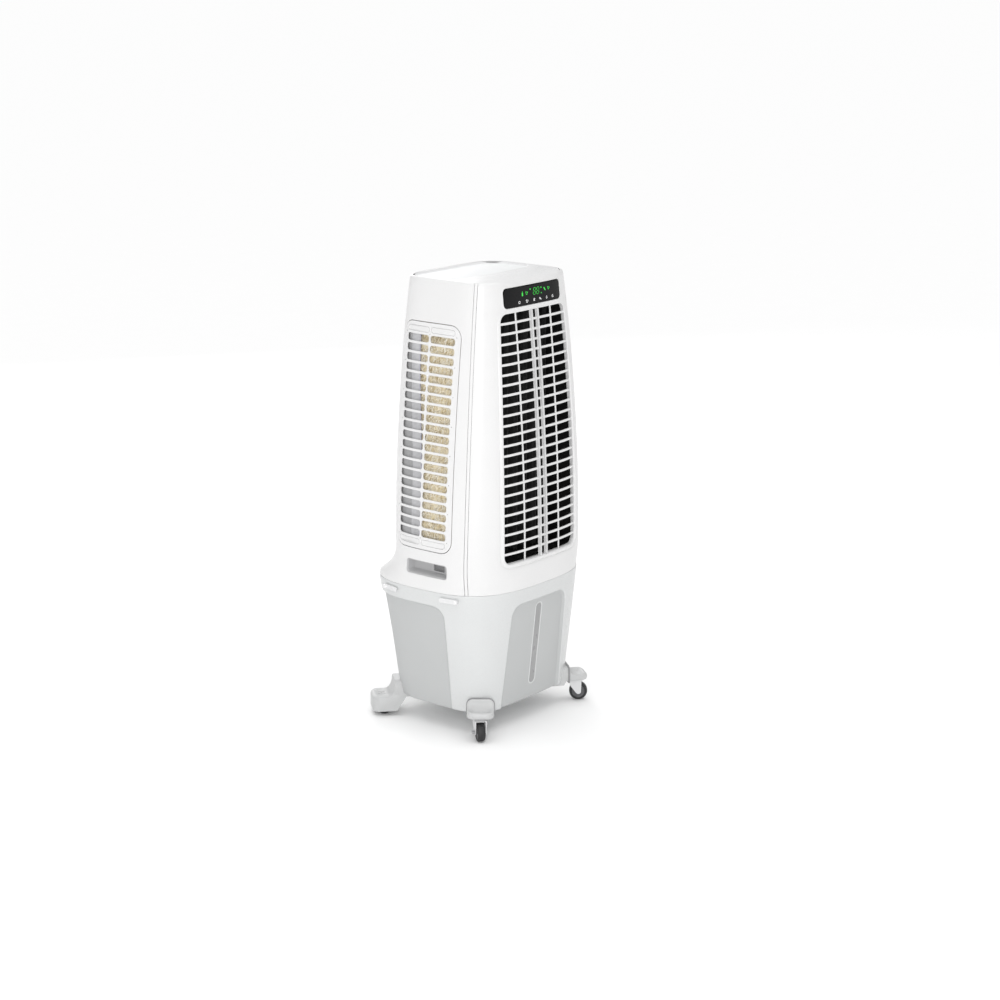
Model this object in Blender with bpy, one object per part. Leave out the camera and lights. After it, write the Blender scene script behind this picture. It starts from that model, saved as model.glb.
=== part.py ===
"""Mobile evaporative cooler in metres, +Z up, air outlet facing -Y.

The tower is drawn as one family of rounded outlines, stacked by height.
Shell pieces are grids of cells on that surface, so their openings need no cutters.
"""
import math

import bmesh
import bpy
from mathutils import Matrix, Vector

# Overall sizes
HEIGHT = 1.200
SEAM_Z = 0.392
TANK_BOTTOM_Z = 0.062
WALL = 0.003
GAP = 0.0004
TANK_FLOOR = 0.004

# Air outlet in the front of the tower
OUTLET_LOW_Z = 0.469
OUTLET_HIGH_Z = 1.118
OUTLET_CORNER = 0.021
BAR_COUNT = 24
BAR_TOP_Z = 1.093
BAR_PITCH = 0.026
BAR_HEIGHT = 0.0065
UPRIGHT_X = 0.0725
UPRIGHT_WIDTH = 0.0048
RIB_X = 0.0125
RIB_WIDTH = 0.005
GRILLE_SETBACK = 0.0050
GRILLE_DEPTH = 0.0045
RIB_DEPTH = 0.0050

# Display in the front of the tower
DISPLAY_LOW_Z = 1.1305
DISPLAY_HIGH_Z = 1.1820
DISPLAY_HALF_WIDTH = 0.118
DISPLAY_CORNER = 0.012

# Top cover
TRAY_FRONT_Y = -0.058

# Intake panels in the sides and the rear of the tower
PANEL_LOW_Z = 0.498
PANEL_HIGH_Z = 1.090
PANEL_CORNER = 0.0355
PANEL_RIM = 0.020
PANEL_RIM_Z = 0.0262
PANEL_FRONT_Y = -0.098
PANEL_REAR_Y = 0.102
REAR_PANEL_HALF_WIDTH = 0.118
SLOT_TOP_Z = 1.0597
SLOT_PITCH = 0.02527
SLOT_BARS = 22
SLOT_BAR_HEIGHT = 0.009
PAD_NEAR = 0.0135
PAD_FAR = 0.040
FILTER_NEAR = 0.0070
FILTER_FAR = 0.0095
FILTER_FRONT_Y = 0.016

# Hand grips in the sides of the tower
GRIP_FRONT_Y = -0.085
GRIP_REAR_Y = 0.052
GRIP_LOW_Z = 0.430
GRIP_HIGH_Z = 0.468
GRIP_DEPTH = 0.032
GRIP_CORNER = 0.009

# Recessed panels and level window of the tank
RECESS_DEPTH = 0.006
RECESS_TOP_Z = 0.354
RECESS_CORNER = 0.038
RECESS_STEP = 0.005
FRONT_RECESS_HALF_WIDTH = 0.122
SIDE_RECESS_FRONT_Y = -0.072
WINDOW_LOW_Z = 0.105
WINDOW_HIGH_Z = 0.334
WINDOW_HALF_WIDTH = 0.010
DRAIN_Z = 0.095

# Swing vanes and fans behind the outlet
VANE_COUNT = 6
VANE_SPACING = 0.040
VANE_AXIS_Y = -0.126
VANE_PIN_Y = -0.106
VANE_LOW_Z = 0.474
VANE_HIGH_Z = 1.110
LINK_Z = 0.790
DUCT_BACK_Y = -0.058
FAN_HEIGHTS = {"upper": 0.955, "lower": 0.635}
FAN_RADIUS = 0.105
FAN_BLADES = 5
BLADE_STATIONS = [(0.024, 0.036, 50.0), (0.055, 0.050, 36.0), (0.085, 0.062, 27.0),
                  (FAN_RADIUS, 0.060, 22.0)]
BLADE_SECTION = [(-0.5, 0.0008), (0.0, 0.0022), (0.5, 0.0008), (0.5, -0.0008), (0.0, 0.0006),
                 (-0.5, -0.0008)]

# Casters
WHEEL_RADIUS = 0.025
WHEEL_WIDTH = 0.020
FRONT_DIRECTION = Vector((0.785, 0.620, 0.0)).normalized()
REAR_DIRECTION = Vector((0.74, 0.67, 0.0)).normalized()
BRACKET_HALF_WIDTH = 0.036
SWIVEL_PIVOT = Vector((0.2065, -0.159, 0.0))
REAR_WHEEL = Vector((0.213, 0.170, WHEEL_RADIUS))
TRAIL = 0.0135
SWIVEL_HEADING = {"left": -129.0, "right": -51.0}

MATERIALS = {
    "white_plastic": ((0.88, 0.88, 0.88), 0.35, 0.0),
    "tank_grey": ((0.60, 0.62, 0.62), 0.45, 0.0),
    "grip_grey": ((0.48, 0.48, 0.48), 0.50, 0.0),
    "black_plastic": ((0.02, 0.02, 0.02), 0.50, 0.0),
    "display_black": ((0.03, 0.03, 0.03), 0.12, 0.0),
    "circuit_green": ((0.05, 0.20, 0.10), 0.50, 0.0),
    "window_clear": ((0.45, 0.46, 0.47), 0.15, 0.0),
    "float_red": ((0.55, 0.10, 0.08), 0.40, 0.0),
    "wood_wool": ((0.72, 0.60, 0.38), 0.95, 0.0),
    "filter_mesh": ((0.50, 0.50, 0.50), 0.80, 0.0),
    "motor_metal": ((0.55, 0.56, 0.58), 0.35, 1.0),
    "tyre_black": ((0.03, 0.03, 0.03), 0.60, 0.0),
}


def clear_scene():
    """Remove everything that the default file holds."""
    for item in list(bpy.data.objects):
        bpy.data.objects.remove(item, do_unlink=True)


def material(slot):
    """Return the material of a slot, made on first use."""
    found = bpy.data.materials.get(slot)
    if found:
        return found
    colour, roughness, metallic = MATERIALS[slot]
    made = bpy.data.materials.new(slot)
    made.use_nodes = True
    shader = made.node_tree.nodes["Principled BSDF"]
    shader.inputs["Base Color"].default_value = (*colour, 1.0)
    shader.inputs["Roughness"].default_value = roughness
    shader.inputs["Metallic"].default_value = metallic
    made.diffuse_color = (*colour, 1.0)
    return made


def add_object(name, points, faces, slot, origin=(0.0, 0.0, 0.0)):
    """Make a closed mesh object whose origin is at a given point."""
    origin = Vector(origin)
    mesh = bpy.data.meshes.new(name)
    mesh.from_pydata([Vector(point) - origin for point in points], [], faces)
    work = bmesh.new()
    work.from_mesh(mesh)
    bmesh.ops.recalc_face_normals(work, faces=work.faces)
    work.to_mesh(mesh)
    work.free()
    made = bpy.data.objects.new(name, mesh)
    made.location = origin
    bpy.context.scene.collection.objects.link(made)
    mesh.materials.append(material(slot))
    shade(made)
    return made


def shade(item, sharp_degrees=35.0):
    """Shade smooth, with creases at the sharp edges."""
    for polygon in item.data.polygons:
        polygon.use_smooth = True
    item.data.set_sharp_from_angle(angle=math.radians(sharp_degrees))


def combine(item, other, operation):
    """Apply one exact Boolean to an object and drop the other object."""
    change = item.modifiers.new(operation, "BOOLEAN")
    change.operation = operation
    change.solver = "EXACT"
    change.object = other
    bpy.context.view_layer.objects.active = item
    bpy.context.view_layer.update()
    bpy.ops.object.modifier_apply(modifier=change.name)
    bpy.data.objects.remove(other, do_unlink=True)
    shade(item)


def cut(item, cutter):
    """Take the cutter away from an object."""
    combine(item, cutter, "DIFFERENCE")


def join(item, other):
    """Add another overlapping object to this one."""
    combine(item, other, "UNION")


# ---------------------------------------------------------------- basic solids

def loft(name, rings, slot, origin=(0.0, 0.0, 0.0), endless=False):
    """Skin a run of closed rings, capped at both ends or joined end to end."""
    count = len(rings[0])
    points = [point for ring in rings for point in ring]
    faces = []
    last = len(rings) if endless else len(rings) - 1
    for level in range(last):
        low = level * count
        high = ((level + 1) % len(rings)) * count
        for index in range(count):
            after = (index + 1) % count
            faces.append((low + index, low + after, high + after, high + index))
    if not endless:
        faces.append(tuple(range(count)))
        faces.append(tuple(range((len(rings) - 1) * count, len(rings) * count)))
    return add_object(name, points, faces, slot, origin)


def prism(name, outline, low, high, slot, frame=None, origin=(0.0, 0.0, 0.0)):
    """Extrude a flat outline from one height to another in a placed frame."""
    frame = frame or Matrix.Identity(4)
    rings = []
    for height in (low, high):
        rings.append([frame @ Vector((u, v, height)) for u, v in outline])
    return loft(name, rings, slot, origin)


def box(name, low, high, slot, origin=(0.0, 0.0, 0.0)):
    """Make a box between two corners."""
    outline = [(low[0], low[1]), (high[0], low[1]), (high[0], high[1]), (low[0], high[1])]
    return prism(name, outline, low[2], high[2], slot, origin=origin)


def circle(radius, count, centre=(0.0, 0.0)):
    """Return the points of a circle in a plane."""
    points = []
    for index in range(count):
        angle = 2.0 * math.pi * index / count
        points.append((centre[0] + radius * math.cos(angle), centre[1] + radius * math.sin(angle)))
    return points


def rounded_rectangle(low, high, radius, steps=3):
    """Return a rectangle with round corners, counter-clockwise."""
    corners = [(high[0], high[1], 0), (low[0], high[1], 90), (low[0], low[1], 180), (high[0], low[1], 270)]
    points = []
    for u, v, start in corners:
        centre_u = u - radius if u == high[0] else u + radius
        centre_v = v - radius if v == high[1] else v + radius
        for step in range(steps + 1):
            angle = math.radians(start + 90.0 * step / steps)
            points.append((centre_u + radius * math.cos(angle), centre_v + radius * math.sin(angle)))
    return points


def turned(name, profile, count, slot, frame, origin=(0.0, 0.0, 0.0)):
    """Turn a profile of (radius, height) pairs about the frame's own Z axis."""
    rings = []
    for radius, height in profile:
        rings.append([frame @ Vector((u, v, height)) for u, v in circle(radius, count)])
    return loft(name, rings, slot, origin)


def facing(axis, centre=(0.0, 0.0, 0.0)):
    """Return a frame at a centre whose own Z axis points along a world axis."""
    turn = Vector((0.0, 0.0, 1.0)).rotation_difference(Vector(axis)).to_matrix().to_4x4()
    return Matrix.Translation(Vector(centre)) @ turn


# ---------------------------------------------------------------- outlines

def tower_section(z):
    """Half-width, front y, rear y and squareness of the tower at a height."""
    rise = z - 0.8
    half_width = 0.230 - 0.084 * rise - 0.0636 * rise ** 2
    front = -0.1984 + 0.056 * rise + 0.0683 * rise ** 2
    rear = 0.156 - 0.045 * rise - 0.062 * rise ** 2
    flare = max(0.0, (0.48 - z) / 0.075)
    rear += min(0.065, 0.058 * flare ** 2)
    power = 3.1 + 1.5 * (z - SEAM_Z) / (HEIGHT - SEAM_Z)
    return half_width, front, rear, power


def tank_section(z):
    """Half-width, front y, rear y and squareness of the tank at a height."""
    up = (z - TANK_BOTTOM_Z) / (SEAM_Z - TANK_BOTTOM_Z)
    half_width = 0.2090 + 0.0445 * up
    front = -0.1740 - 0.0360 * up
    rear = 0.1660 + 0.0640 * up
    power = 3.9 - 0.7 * up
    return half_width, front, rear, power


def shrink(section, inset):
    """Return the outline that lies inside another by an even inset."""
    half_width, front, rear, power = section
    return half_width - inset, front + inset, rear - inset, power


def on_outline(section, angle):
    """Return x and y on an outline; the angle is 0 at the front and 90 at +X."""
    wide, front, rear, power = section
    centre = (front + rear) / 2.0
    reach = (rear - front) / 2.0
    sine = math.sin(math.radians(angle))
    cosine = math.cos(math.radians(angle))
    x = wide * math.copysign(abs(sine) ** (2.0 / power), sine)
    y = centre - reach * math.copysign(abs(cosine) ** (2.0 / power), cosine)
    return x, y


def angle_at_x(section, x, rear=False):
    """Return the outline angle where the front or rear face has this x."""
    half_width, _, _, power = section
    angle = math.degrees(math.asin(min(1.0, abs(x) / half_width) ** (power / 2.0)))
    angle = 180.0 - angle if rear else angle
    return angle if x >= 0 else -angle


def angle_at_y(section, y):
    """Return the outline angle where the +X side has this y."""
    _, front, rear, power = section
    centre = (front + rear) / 2.0
    share = (centre - y) / ((rear - front) / 2.0)
    cosine = math.copysign(abs(share) ** (power / 2.0), share)
    return math.degrees(math.acos(max(-1.0, min(1.0, cosine))))


def front_y(z, x, setback):
    """Return the y of the tower's front face, moved straight back."""
    half_width, front, rear, power = tower_section(z)
    centre = (front + rear) / 2.0
    share = (1.0 - (abs(x) / half_width) ** power) ** (1.0 / power)
    return centre - (rear - front) / 2.0 * share + setback


def seam_y(z):
    """Return the y where the front cover meets the rear housing."""
    return -0.125 - 0.012 * math.sin(math.pi * (HEIGHT - z) / (HEIGHT - SEAM_Z) * 0.7)


def outlet_half_width(z):
    """Return half the width of the air outlet at a height."""
    rise = z - 0.8
    return 0.1455 - 0.0290 * rise - 0.045 * rise ** 2


def blend(keys, places, key):
    """Read a place between listed keys."""
    for index in range(len(keys) - 1):
        if key <= keys[index + 1]:
            share = (key - keys[index]) / (keys[index + 1] - keys[index])
            return places[index] + share * (places[index + 1] - places[index])
    return places[-1]


# ---------------------------------------------------------------- cell grids

def lattice(name, grid_out, grid_in, is_open, slot, origin=(0.0, 0.0, 0.0)):
    """Make one closed sheet from two grids of points, leaving out the open cells."""
    columns = len(grid_out)
    rows = len(grid_out[0])

    def solid(i, j):
        inside = 0 <= i < columns - 1 and 0 <= j < rows - 1
        return inside and not is_open(i, j)

    numbers = {}
    points = []

    def number(side, i, j):
        if (side, i, j) not in numbers:
            numbers[(side, i, j)] = len(points)
            points.append((grid_out, grid_in)[side][i][j])
        return numbers[(side, i, j)]

    faces = []
    for i in range(columns - 1):
        for j in range(rows - 1):
            if not solid(i, j):
                continue
            loop = [(i, j), (i + 1, j), (i + 1, j + 1), (i, j + 1)]
            faces.append([number(0, *node) for node in loop])
            faces.append([number(1, *node) for node in reversed(loop)])
            beyond = [(i, j - 1), (i + 1, j), (i, j + 1), (i - 1, j)]
            for edge, cell in enumerate(beyond):
                if not solid(*cell):
                    start = loop[edge]
                    end = loop[(edge + 1) % 4]
                    faces.append([number(0, *start), number(1, *start), number(1, *end), number(0, *end)])
    return add_object(name, points, faces, slot, origin)


def round_off(grid, low_i, high_i, low_j, high_j, steps=1):
    """Move the edge of a block of cells onto a quarter circle at each corner."""
    corners = [(low_i, low_j, 1, 1), (high_i, low_j, -1, 1), (low_i, high_j, 1, -1),
               (high_i, high_j, -1, -1)]
    for i, j, step_i, step_j in corners:
        here = grid[i][j].copy()
        across = grid[i + steps * step_i][j] - here
        along = grid[i][j + steps * step_j] - here
        for step in range(1 - steps, steps):
            turn = math.radians(45.0 - 45.0 * step / steps)
            place_i = i + max(step, 0) * step_i
            place_j = j + max(-step, 0) * step_j
            grid[place_i][place_j] = here + (1.0 - math.sin(turn)) * across + (1.0 - math.cos(turn)) * along


def tower_grid(columns, rows, angle_of, inset):
    """Return grid points on the tower; a row is a height or a (height, inset) pair."""
    grid = []
    for key in columns:
        line = []
        for row in rows:
            z, extra = row if isinstance(row, tuple) else (row, 0.0)
            section = shrink(tower_section(z), inset + extra)
            x, y = on_outline(section, angle_of(key, z, section))
            line.append(Vector((x, y, z)))
        grid.append(line)
    return grid


def top_lip_rows(inner):
    """Return the rows that turn the wall inwards at its upper edge."""
    if inner:
        return [1.150, (1.188, 0.0), (1.1945, 0.0008), (1.1965, 0.0035)]
    return [1.150, (1.188, 0.0), (1.1970, 0.0018), (1.2000, 0.0062)]


# ---------------------------------------------------------------- tower shell

def front_angles(key, z, section):
    """Angle of a front cover column: whole keys are its edges, openings and centre."""
    outlet = outlet_half_width(z)
    shown = min(DISPLAY_HALF_WIDTH, outlet - 0.009)
    stops = [shown - DISPLAY_CORNER, shown, outlet]
    angles = [0.0] + [angle_at_x(section, stop) for stop in stops]
    angles.append(angle_at_y(section, seam_y(z) - 0.004 - GAP))
    angle = blend([0, 1, 2, 3, 4], angles, abs(key))
    return math.copysign(angle, key)


def make_front_cover():
    """Front cover with the outlet and the display openings."""
    half = [0, 0.5, 1, 2, 3, 3.2, 3.4, 3.6, 3.8, 4]
    columns = [-key for key in reversed(half)] + half[1:]
    rows = [SEAM_Z + GAP, 0.43, OUTLET_LOW_Z, OUTLET_LOW_Z + OUTLET_CORNER, 0.64, 0.80, 0.96,
            OUTLET_HIGH_Z - OUTLET_CORNER, OUTLET_HIGH_Z, DISPLAY_LOW_Z, DISPLAY_LOW_Z + DISPLAY_CORNER,
            DISPLAY_HIGH_Z - DISPLAY_CORNER, DISPLAY_HIGH_Z]
    outside = tower_grid(columns, rows + top_lip_rows(False)[1:], front_angles, 0.0)
    inside = tower_grid(columns, rows + top_lip_rows(True)[1:], front_angles, WALL)
    left = columns.index(-3)
    right = columns.index(3)
    low = rows.index(OUTLET_LOW_Z)
    high = rows.index(OUTLET_HIGH_Z)
    screen_left = columns.index(-2)
    screen_right = columns.index(2)
    screen_low = rows.index(DISPLAY_LOW_Z)
    screen_high = rows.index(DISPLAY_HIGH_Z)
    for grid in (outside, inside):
        round_off(grid, left, right, low, high)
        round_off(grid, screen_left, screen_right, screen_low, screen_high)

    def is_open(i, j):
        in_outlet = left <= i < right and low <= j < high
        in_screen = screen_left <= i < screen_right and screen_low <= j < screen_high
        return in_outlet or in_screen

    lattice("front_cover", outside, inside, is_open, "white_plastic")


def housing_angles(key, z, section):
    """Angle of a housing column: keys 0 to 10 run from the seam to the rear centre."""
    angles = [angle_at_y(section, seam_y(z) + 0.004 + GAP)]
    for inset in (0.0, PANEL_RIM, PANEL_CORNER):
        angles.append(angle_at_y(section, PANEL_FRONT_Y + inset))
    for inset in (PANEL_CORNER, PANEL_RIM, 0.0):
        angles.append(angle_at_y(section, min(PANEL_REAR_Y - inset, section[2] - 0.020 - inset)))
    for inset in (0.0, PANEL_RIM, PANEL_CORNER, REAR_PANEL_HALF_WIDTH):
        angles.append(angle_at_x(section, REAR_PANEL_HALF_WIDTH - inset, rear=True))
    return blend(list(range(11)), angles, key)


def mirrored_housing_angles(key, z, section):
    """Angle of a housing column, with keys past the rear centre on the -X side."""
    if key <= 10:
        return housing_angles(key, z, section)
    return 360.0 - housing_angles(20 - key, z, section)


def make_rear_housing():
    """Sides and rear of the tower in one wrap, with three intake openings."""
    half = [0, 1, 2, 3, 3.5, 4, 5, 6, 6.25, 6.5, 6.75, 7, 8, 9, 10]
    columns = half + [20 - key for key in reversed(half[:-1])]
    rows = [SEAM_Z + GAP, 0.402, 0.415, 0.43, 0.45, 0.475, PANEL_LOW_Z, PANEL_LOW_Z + PANEL_RIM_Z,
            PANEL_LOW_Z + PANEL_CORNER, 0.64, 0.80, 0.96, PANEL_HIGH_Z - PANEL_CORNER,
            PANEL_HIGH_Z - PANEL_RIM_Z, PANEL_HIGH_Z]
    outside = tower_grid(columns, rows + top_lip_rows(False), mirrored_housing_angles, 0.0)
    inside = tower_grid(columns, rows + top_lip_rows(True), mirrored_housing_angles, WALL)
    low = rows.index(PANEL_LOW_Z)
    high = rows.index(PANEL_HIGH_Z)
    spans = [(columns.index(a), columns.index(b)) for a, b in ((1, 6), (7, 13), (14, 19))]
    for grid in (outside, inside):
        for start, end in spans:
            round_off(grid, start, end, low, high, steps=2)

    def is_open(i, j):
        return low <= j < high and any(start <= i < end for start, end in spans)

    housing = lattice("rear_housing", outside, inside, is_open, "white_plastic")
    outline = rounded_rectangle((GRIP_FRONT_Y, GRIP_LOW_Z), (GRIP_REAR_Y, GRIP_HIGH_Z), GRIP_CORNER)
    for side in (-1, 1):
        ends = sorted((side * 0.22, side * 0.28))
        rings = [[Vector((x, u, v)) for u, v in outline] for x in ends]
        cut(housing, loft("grip_cutter", rings, "white_plastic"))


def make_seam_strips():
    """Narrow strip that fills the seam between cover and housing on each side."""
    rows = [SEAM_Z + GAP, 0.47, 0.56, 0.68, 0.80, 0.92, 1.04]
    for name, side in (("left", -1), ("right", 1)):
        def angle_of(key, z, section, side=side):
            return side * angle_at_y(section, seam_y(z) + key)
        columns = [-0.004, 0.004]
        outside = tower_grid(columns, rows + top_lip_rows(False), angle_of, 0.0008)
        inside = tower_grid(columns, rows + top_lip_rows(True), angle_of, WALL)
        lattice("seam_strip_" + name, outside, inside, lambda i, j: False, "white_plastic")


def make_top_cover():
    """Top cover: a smooth front band and a shallow tray behind it."""
    def ring(z, inset, tray=False):
        half_width, front, rear, power = tower_section(HEIGHT)
        if tray:
            section = (half_width, TRAY_FRONT_Y - inset, rear, 6.0)
        else:
            section = (half_width, front, rear, power)
        points = []
        for index in range(48):
            x, y = on_outline(shrink(section, inset), index * 7.5)
            points.append(Vector((x, y, z)))
        return points

    cover = loft("top_cover", [ring(1.1915, 0.0078), ring(1.1992, 0.0078)], "white_plastic")
    cut(cover, loft("tray_cutter", [ring(1.1942, 0.0125, True), ring(1.21, 0.0125, True)], "white_plastic"))


def make_front_grille():
    """Outlet grille: bowed bars across, with four uprights."""
    half = [0.0095, 0.0155, UPRIGHT_X - UPRIGHT_WIDTH / 2.0, UPRIGHT_X + UPRIGHT_WIDTH / 2.0]
    middle = [-x for x in reversed(half)] + half
    rows = [OUTLET_LOW_Z - 0.006, OUTLET_LOW_Z + 0.0015]
    for index in reversed(range(BAR_COUNT)):
        centre = BAR_TOP_Z - index * BAR_PITCH
        rows += [centre - BAR_HEIGHT / 2.0, centre + BAR_HEIGHT / 2.0]
    rows += [OUTLET_HIGH_Z - 0.0015, OUTLET_HIGH_Z + 0.006]

    def grid(setback):
        lines = []
        for index in range(len(middle) + 4):
            line = []
            for z in rows:
                edges = [0.99 * outlet_half_width(z), 1.04 * outlet_half_width(z)]
                x = ([-edges[1], -edges[0]] + middle + edges)[index]
                line.append(Vector((x, front_y(z, x, setback), z)))
            lines.append(line)
        return lines

    near = grid(GRILLE_SETBACK)
    far = grid(GRILLE_SETBACK + GRILLE_DEPTH)
    lattice("front_grille", near, far, lambda i, j: i % 2 == 1 and j % 2 == 1, "white_plastic")


def make_grille_ribs():
    """Two deep upright ribs behind the middle of the grille."""
    heights = [OUTLET_LOW_Z, 0.60, 0.73, 0.86, 0.99, OUTLET_HIGH_Z]
    near = GRILLE_SETBACK + GRILLE_DEPTH + GAP
    for name, side in (("left", -1), ("right", 1)):
        outline = []
        for setback, run in ((near, heights), (near + RIB_DEPTH, heights[::-1])):
            outline += [(front_y(z, 0.0, setback), z) for z in run]
        rings = []
        for x in (side * RIB_X - RIB_WIDTH / 2.0, side * RIB_X + RIB_WIDTH / 2.0):
            rings.append([Vector((x, y, z)) for y, z in outline])
        loft("grille_rib_" + name, rings, "white_plastic")


def make_display():
    """Dark control panel and the circuit board behind it."""
    columns = [-1.0, -0.907, -0.5, 0.0, 0.5, 0.907, 1.0]
    rows = [DISPLAY_LOW_Z + GAP, DISPLAY_LOW_Z + DISPLAY_CORNER, DISPLAY_HIGH_Z - DISPLAY_CORNER,
            DISPLAY_HIGH_Z - GAP]

    def grid(setback):
        lines = []
        for share in columns:
            x = share * (DISPLAY_HALF_WIDTH - 0.0008)
            lines.append([Vector((x, front_y(z, x, setback), z)) for z in rows])
        round_off(lines, 0, len(columns) - 1, 0, len(rows) - 1)
        return lines

    lattice("display_panel", grid(-0.0006), grid(0.0050), lambda i, j: False, "display_black")
    back = front_y(DISPLAY_LOW_Z, 0.0, 0.016)
    box("control_board", (-0.085, back, 1.134), (0.085, back + 0.0016, 1.178), "circuit_green")


# ---------------------------------------------------------------- intakes

def slot_rows():
    """Return the row heights of an intake panel, from low to high."""
    rows = [PANEL_LOW_Z + GAP]
    for index in reversed(range(SLOT_BARS)):
        centre = SLOT_TOP_Z - index * SLOT_PITCH
        rows += [centre - SLOT_BAR_HEIGHT / 2.0, centre + SLOT_BAR_HEIGHT / 2.0]
    rows.append(PANEL_HIGH_Z - GAP)
    return rows


def make_sheet(name, columns, rows, angle_of, insets, slot, steps=1, is_open=lambda i, j: False):
    """Make a sheet that follows the tower's wall, with round outer corners."""
    grids = []
    for inset in insets:
        grid = tower_grid(columns, rows, angle_of, inset)
        round_off(grid, 0, len(columns) - 1, 0, len(rows) - 1, steps)
        grids.append(grid)
    lattice(name, grids[0], grids[1], is_open, slot)


def is_slot(i, j):
    """Tell whether a cell of an intake panel is one of its open slots."""
    return i in (1, 2, 4, 5) and j % 2 == 0 and 2 <= j <= 2 * SLOT_BARS - 2


def pad_rows():
    """Return the row heights of a pad or a filter."""
    low = PANEL_LOW_Z + 0.006
    high = PANEL_HIGH_Z - 0.006
    return [low, low + PANEL_CORNER, 0.64, 0.80, 0.96, high - PANEL_CORNER, high]


def make_side_intake(name, side):
    """Slotted side panel with its dust filter and its cooling pad."""
    def angle_of(y, z, section):
        return side * angle_at_y(section, y)

    columns = [PANEL_FRONT_Y + GAP, PANEL_FRONT_Y + PANEL_RIM, PANEL_FRONT_Y + PANEL_CORNER, -0.003, 0.007,
               PANEL_REAR_Y - PANEL_CORNER, PANEL_REAR_Y - PANEL_RIM, PANEL_REAR_Y - GAP]
    insets = (0.0, WALL)
    make_sheet("side_panel_" + name, columns, slot_rows(), angle_of, insets, "white_plastic", 2, is_slot)
    columns = [FILTER_FRONT_Y, FILTER_FRONT_Y + 0.02, 0.068, 0.092]
    insets = (FILTER_NEAR, FILTER_FAR)
    make_sheet("dust_filter_" + name, columns, pad_rows(), angle_of, insets, "filter_mesh")
    columns = [-0.089, -0.061, -0.02, 0.03, 0.064, 0.092]
    insets = (PAD_NEAR, PAD_FAR)
    make_sheet("cooling_pad_" + name, columns, pad_rows(), angle_of, insets, "wood_wool")


def make_rear_intake():
    """Slotted rear panel with its cooling pad."""
    def angle_of(x, z, section):
        return angle_at_x(section, x, rear=True) % 360.0

    wide = REAR_PANEL_HALF_WIDTH
    columns = [wide - GAP, wide - PANEL_RIM, wide - PANEL_CORNER, 0.005]
    columns = columns + [-x for x in reversed(columns)]
    make_sheet("rear_panel", columns, slot_rows(), angle_of, (0.0, WALL), "white_plastic", 2, is_slot)
    columns = [0.106, 0.078, 0.0, -0.078, -0.106]
    make_sheet("cooling_pad_rear", columns, pad_rows(), angle_of, (PAD_NEAR, PAD_FAR), "wood_wool")


def make_grips():
    """Grey hand-grip pocket in each side, open outwards."""
    middle_y = (GRIP_FRONT_Y + GRIP_REAR_Y) / 2.0
    middle_z = (GRIP_LOW_Z + GRIP_HIGH_Z) / 2.0
    for name, side in (("left", -1), ("right", 1)):
        def surface_x(y, z):
            section = shrink(tower_section(z), 0.0008)
            return on_outline(section, angle_at_y(section, y))[0]

        def ring(trim, x=None, side=side):
            low = (GRIP_FRONT_Y + trim, GRIP_LOW_Z + trim)
            high = (GRIP_REAR_Y - trim, GRIP_HIGH_Z - trim)
            points = []
            for y, z in rounded_rectangle(low, high, GRIP_CORNER - trim):
                depth = surface_x(y, z) if x is None else x
                points.append(Vector((side * depth, y, z)))
            return points

        back = surface_x(middle_y, middle_z) - GRIP_DEPTH
        rings = [ring(GAP, back), ring(GAP), ring(GAP + 0.002), ring(GAP + 0.002, back + 0.002)]
        loft("grip_pocket_" + name, rings, "grip_grey")


# ---------------------------------------------------------------- air path

def make_duct():
    """Black air duct behind the grille, with two round fan holes."""
    side = [0.465, 0.58, 0.70, 0.82, 0.94, 1.03, 1.122]

    def ring(trim, y=None):
        low = side[0] + trim
        high = side[-1] - trim
        heights = [low] + side[1:-1] + [high]
        points = []
        for edge, run in ((-1, heights), (1, heights[::-1])):
            for z in run:
                x = edge * (outlet_half_width(z) + 0.007 - trim)
                place = front_y(z, x, GRILLE_SETBACK + GRILLE_DEPTH + 0.002) if y is None else y
                points.append(Vector((x, place, z)))
        return points

    rings = [ring(0.0, DUCT_BACK_Y), ring(0.0), ring(0.003), ring(0.003, DUCT_BACK_Y - 0.003)]
    duct = loft("air_duct", rings, "black_plastic")
    for height in FAN_HEIGHTS.values():
        frame = facing((0, 1, 0), (0, DUCT_BACK_Y - 0.01, height))
        cut(duct, turned("fan_hole", [(0.113, 0.0), (0.113, 0.02)], 32, "black_plastic", frame))


def blade_ring(frame, start, radius, chord, pitch):
    """Return the outline of a fan blade where it crosses a radius."""
    tilt = math.radians(pitch)
    ring = []
    for along, up in BLADE_SECTION:
        across = chord * along * math.cos(tilt) - up * math.sin(tilt)
        rise = chord * along * math.sin(tilt) * 0.72 + up * math.cos(tilt)
        turn = start + across / radius
        ring.append(frame @ Vector((radius * math.cos(turn), radius * math.sin(turn), rise)))
    return ring


def make_fan(name, height):
    """Axial fan: twisted blades on a round hub."""
    centre = Vector((0.0, -0.055, height))
    frame = facing((0, -1, 0), centre)
    profile = [(0.030, -0.015), (0.030, 0.010), (0.024, 0.016), (0.012, 0.019)]
    fan = turned("fan_" + name, profile, 20, "black_plastic", frame, centre)
    for index in range(FAN_BLADES):
        start = 2.0 * math.pi * index / FAN_BLADES
        rings = [blade_ring(frame, start, *station) for station in BLADE_STATIONS]
        join(fan, loft("blade", rings, "black_plastic", centre))


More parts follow.
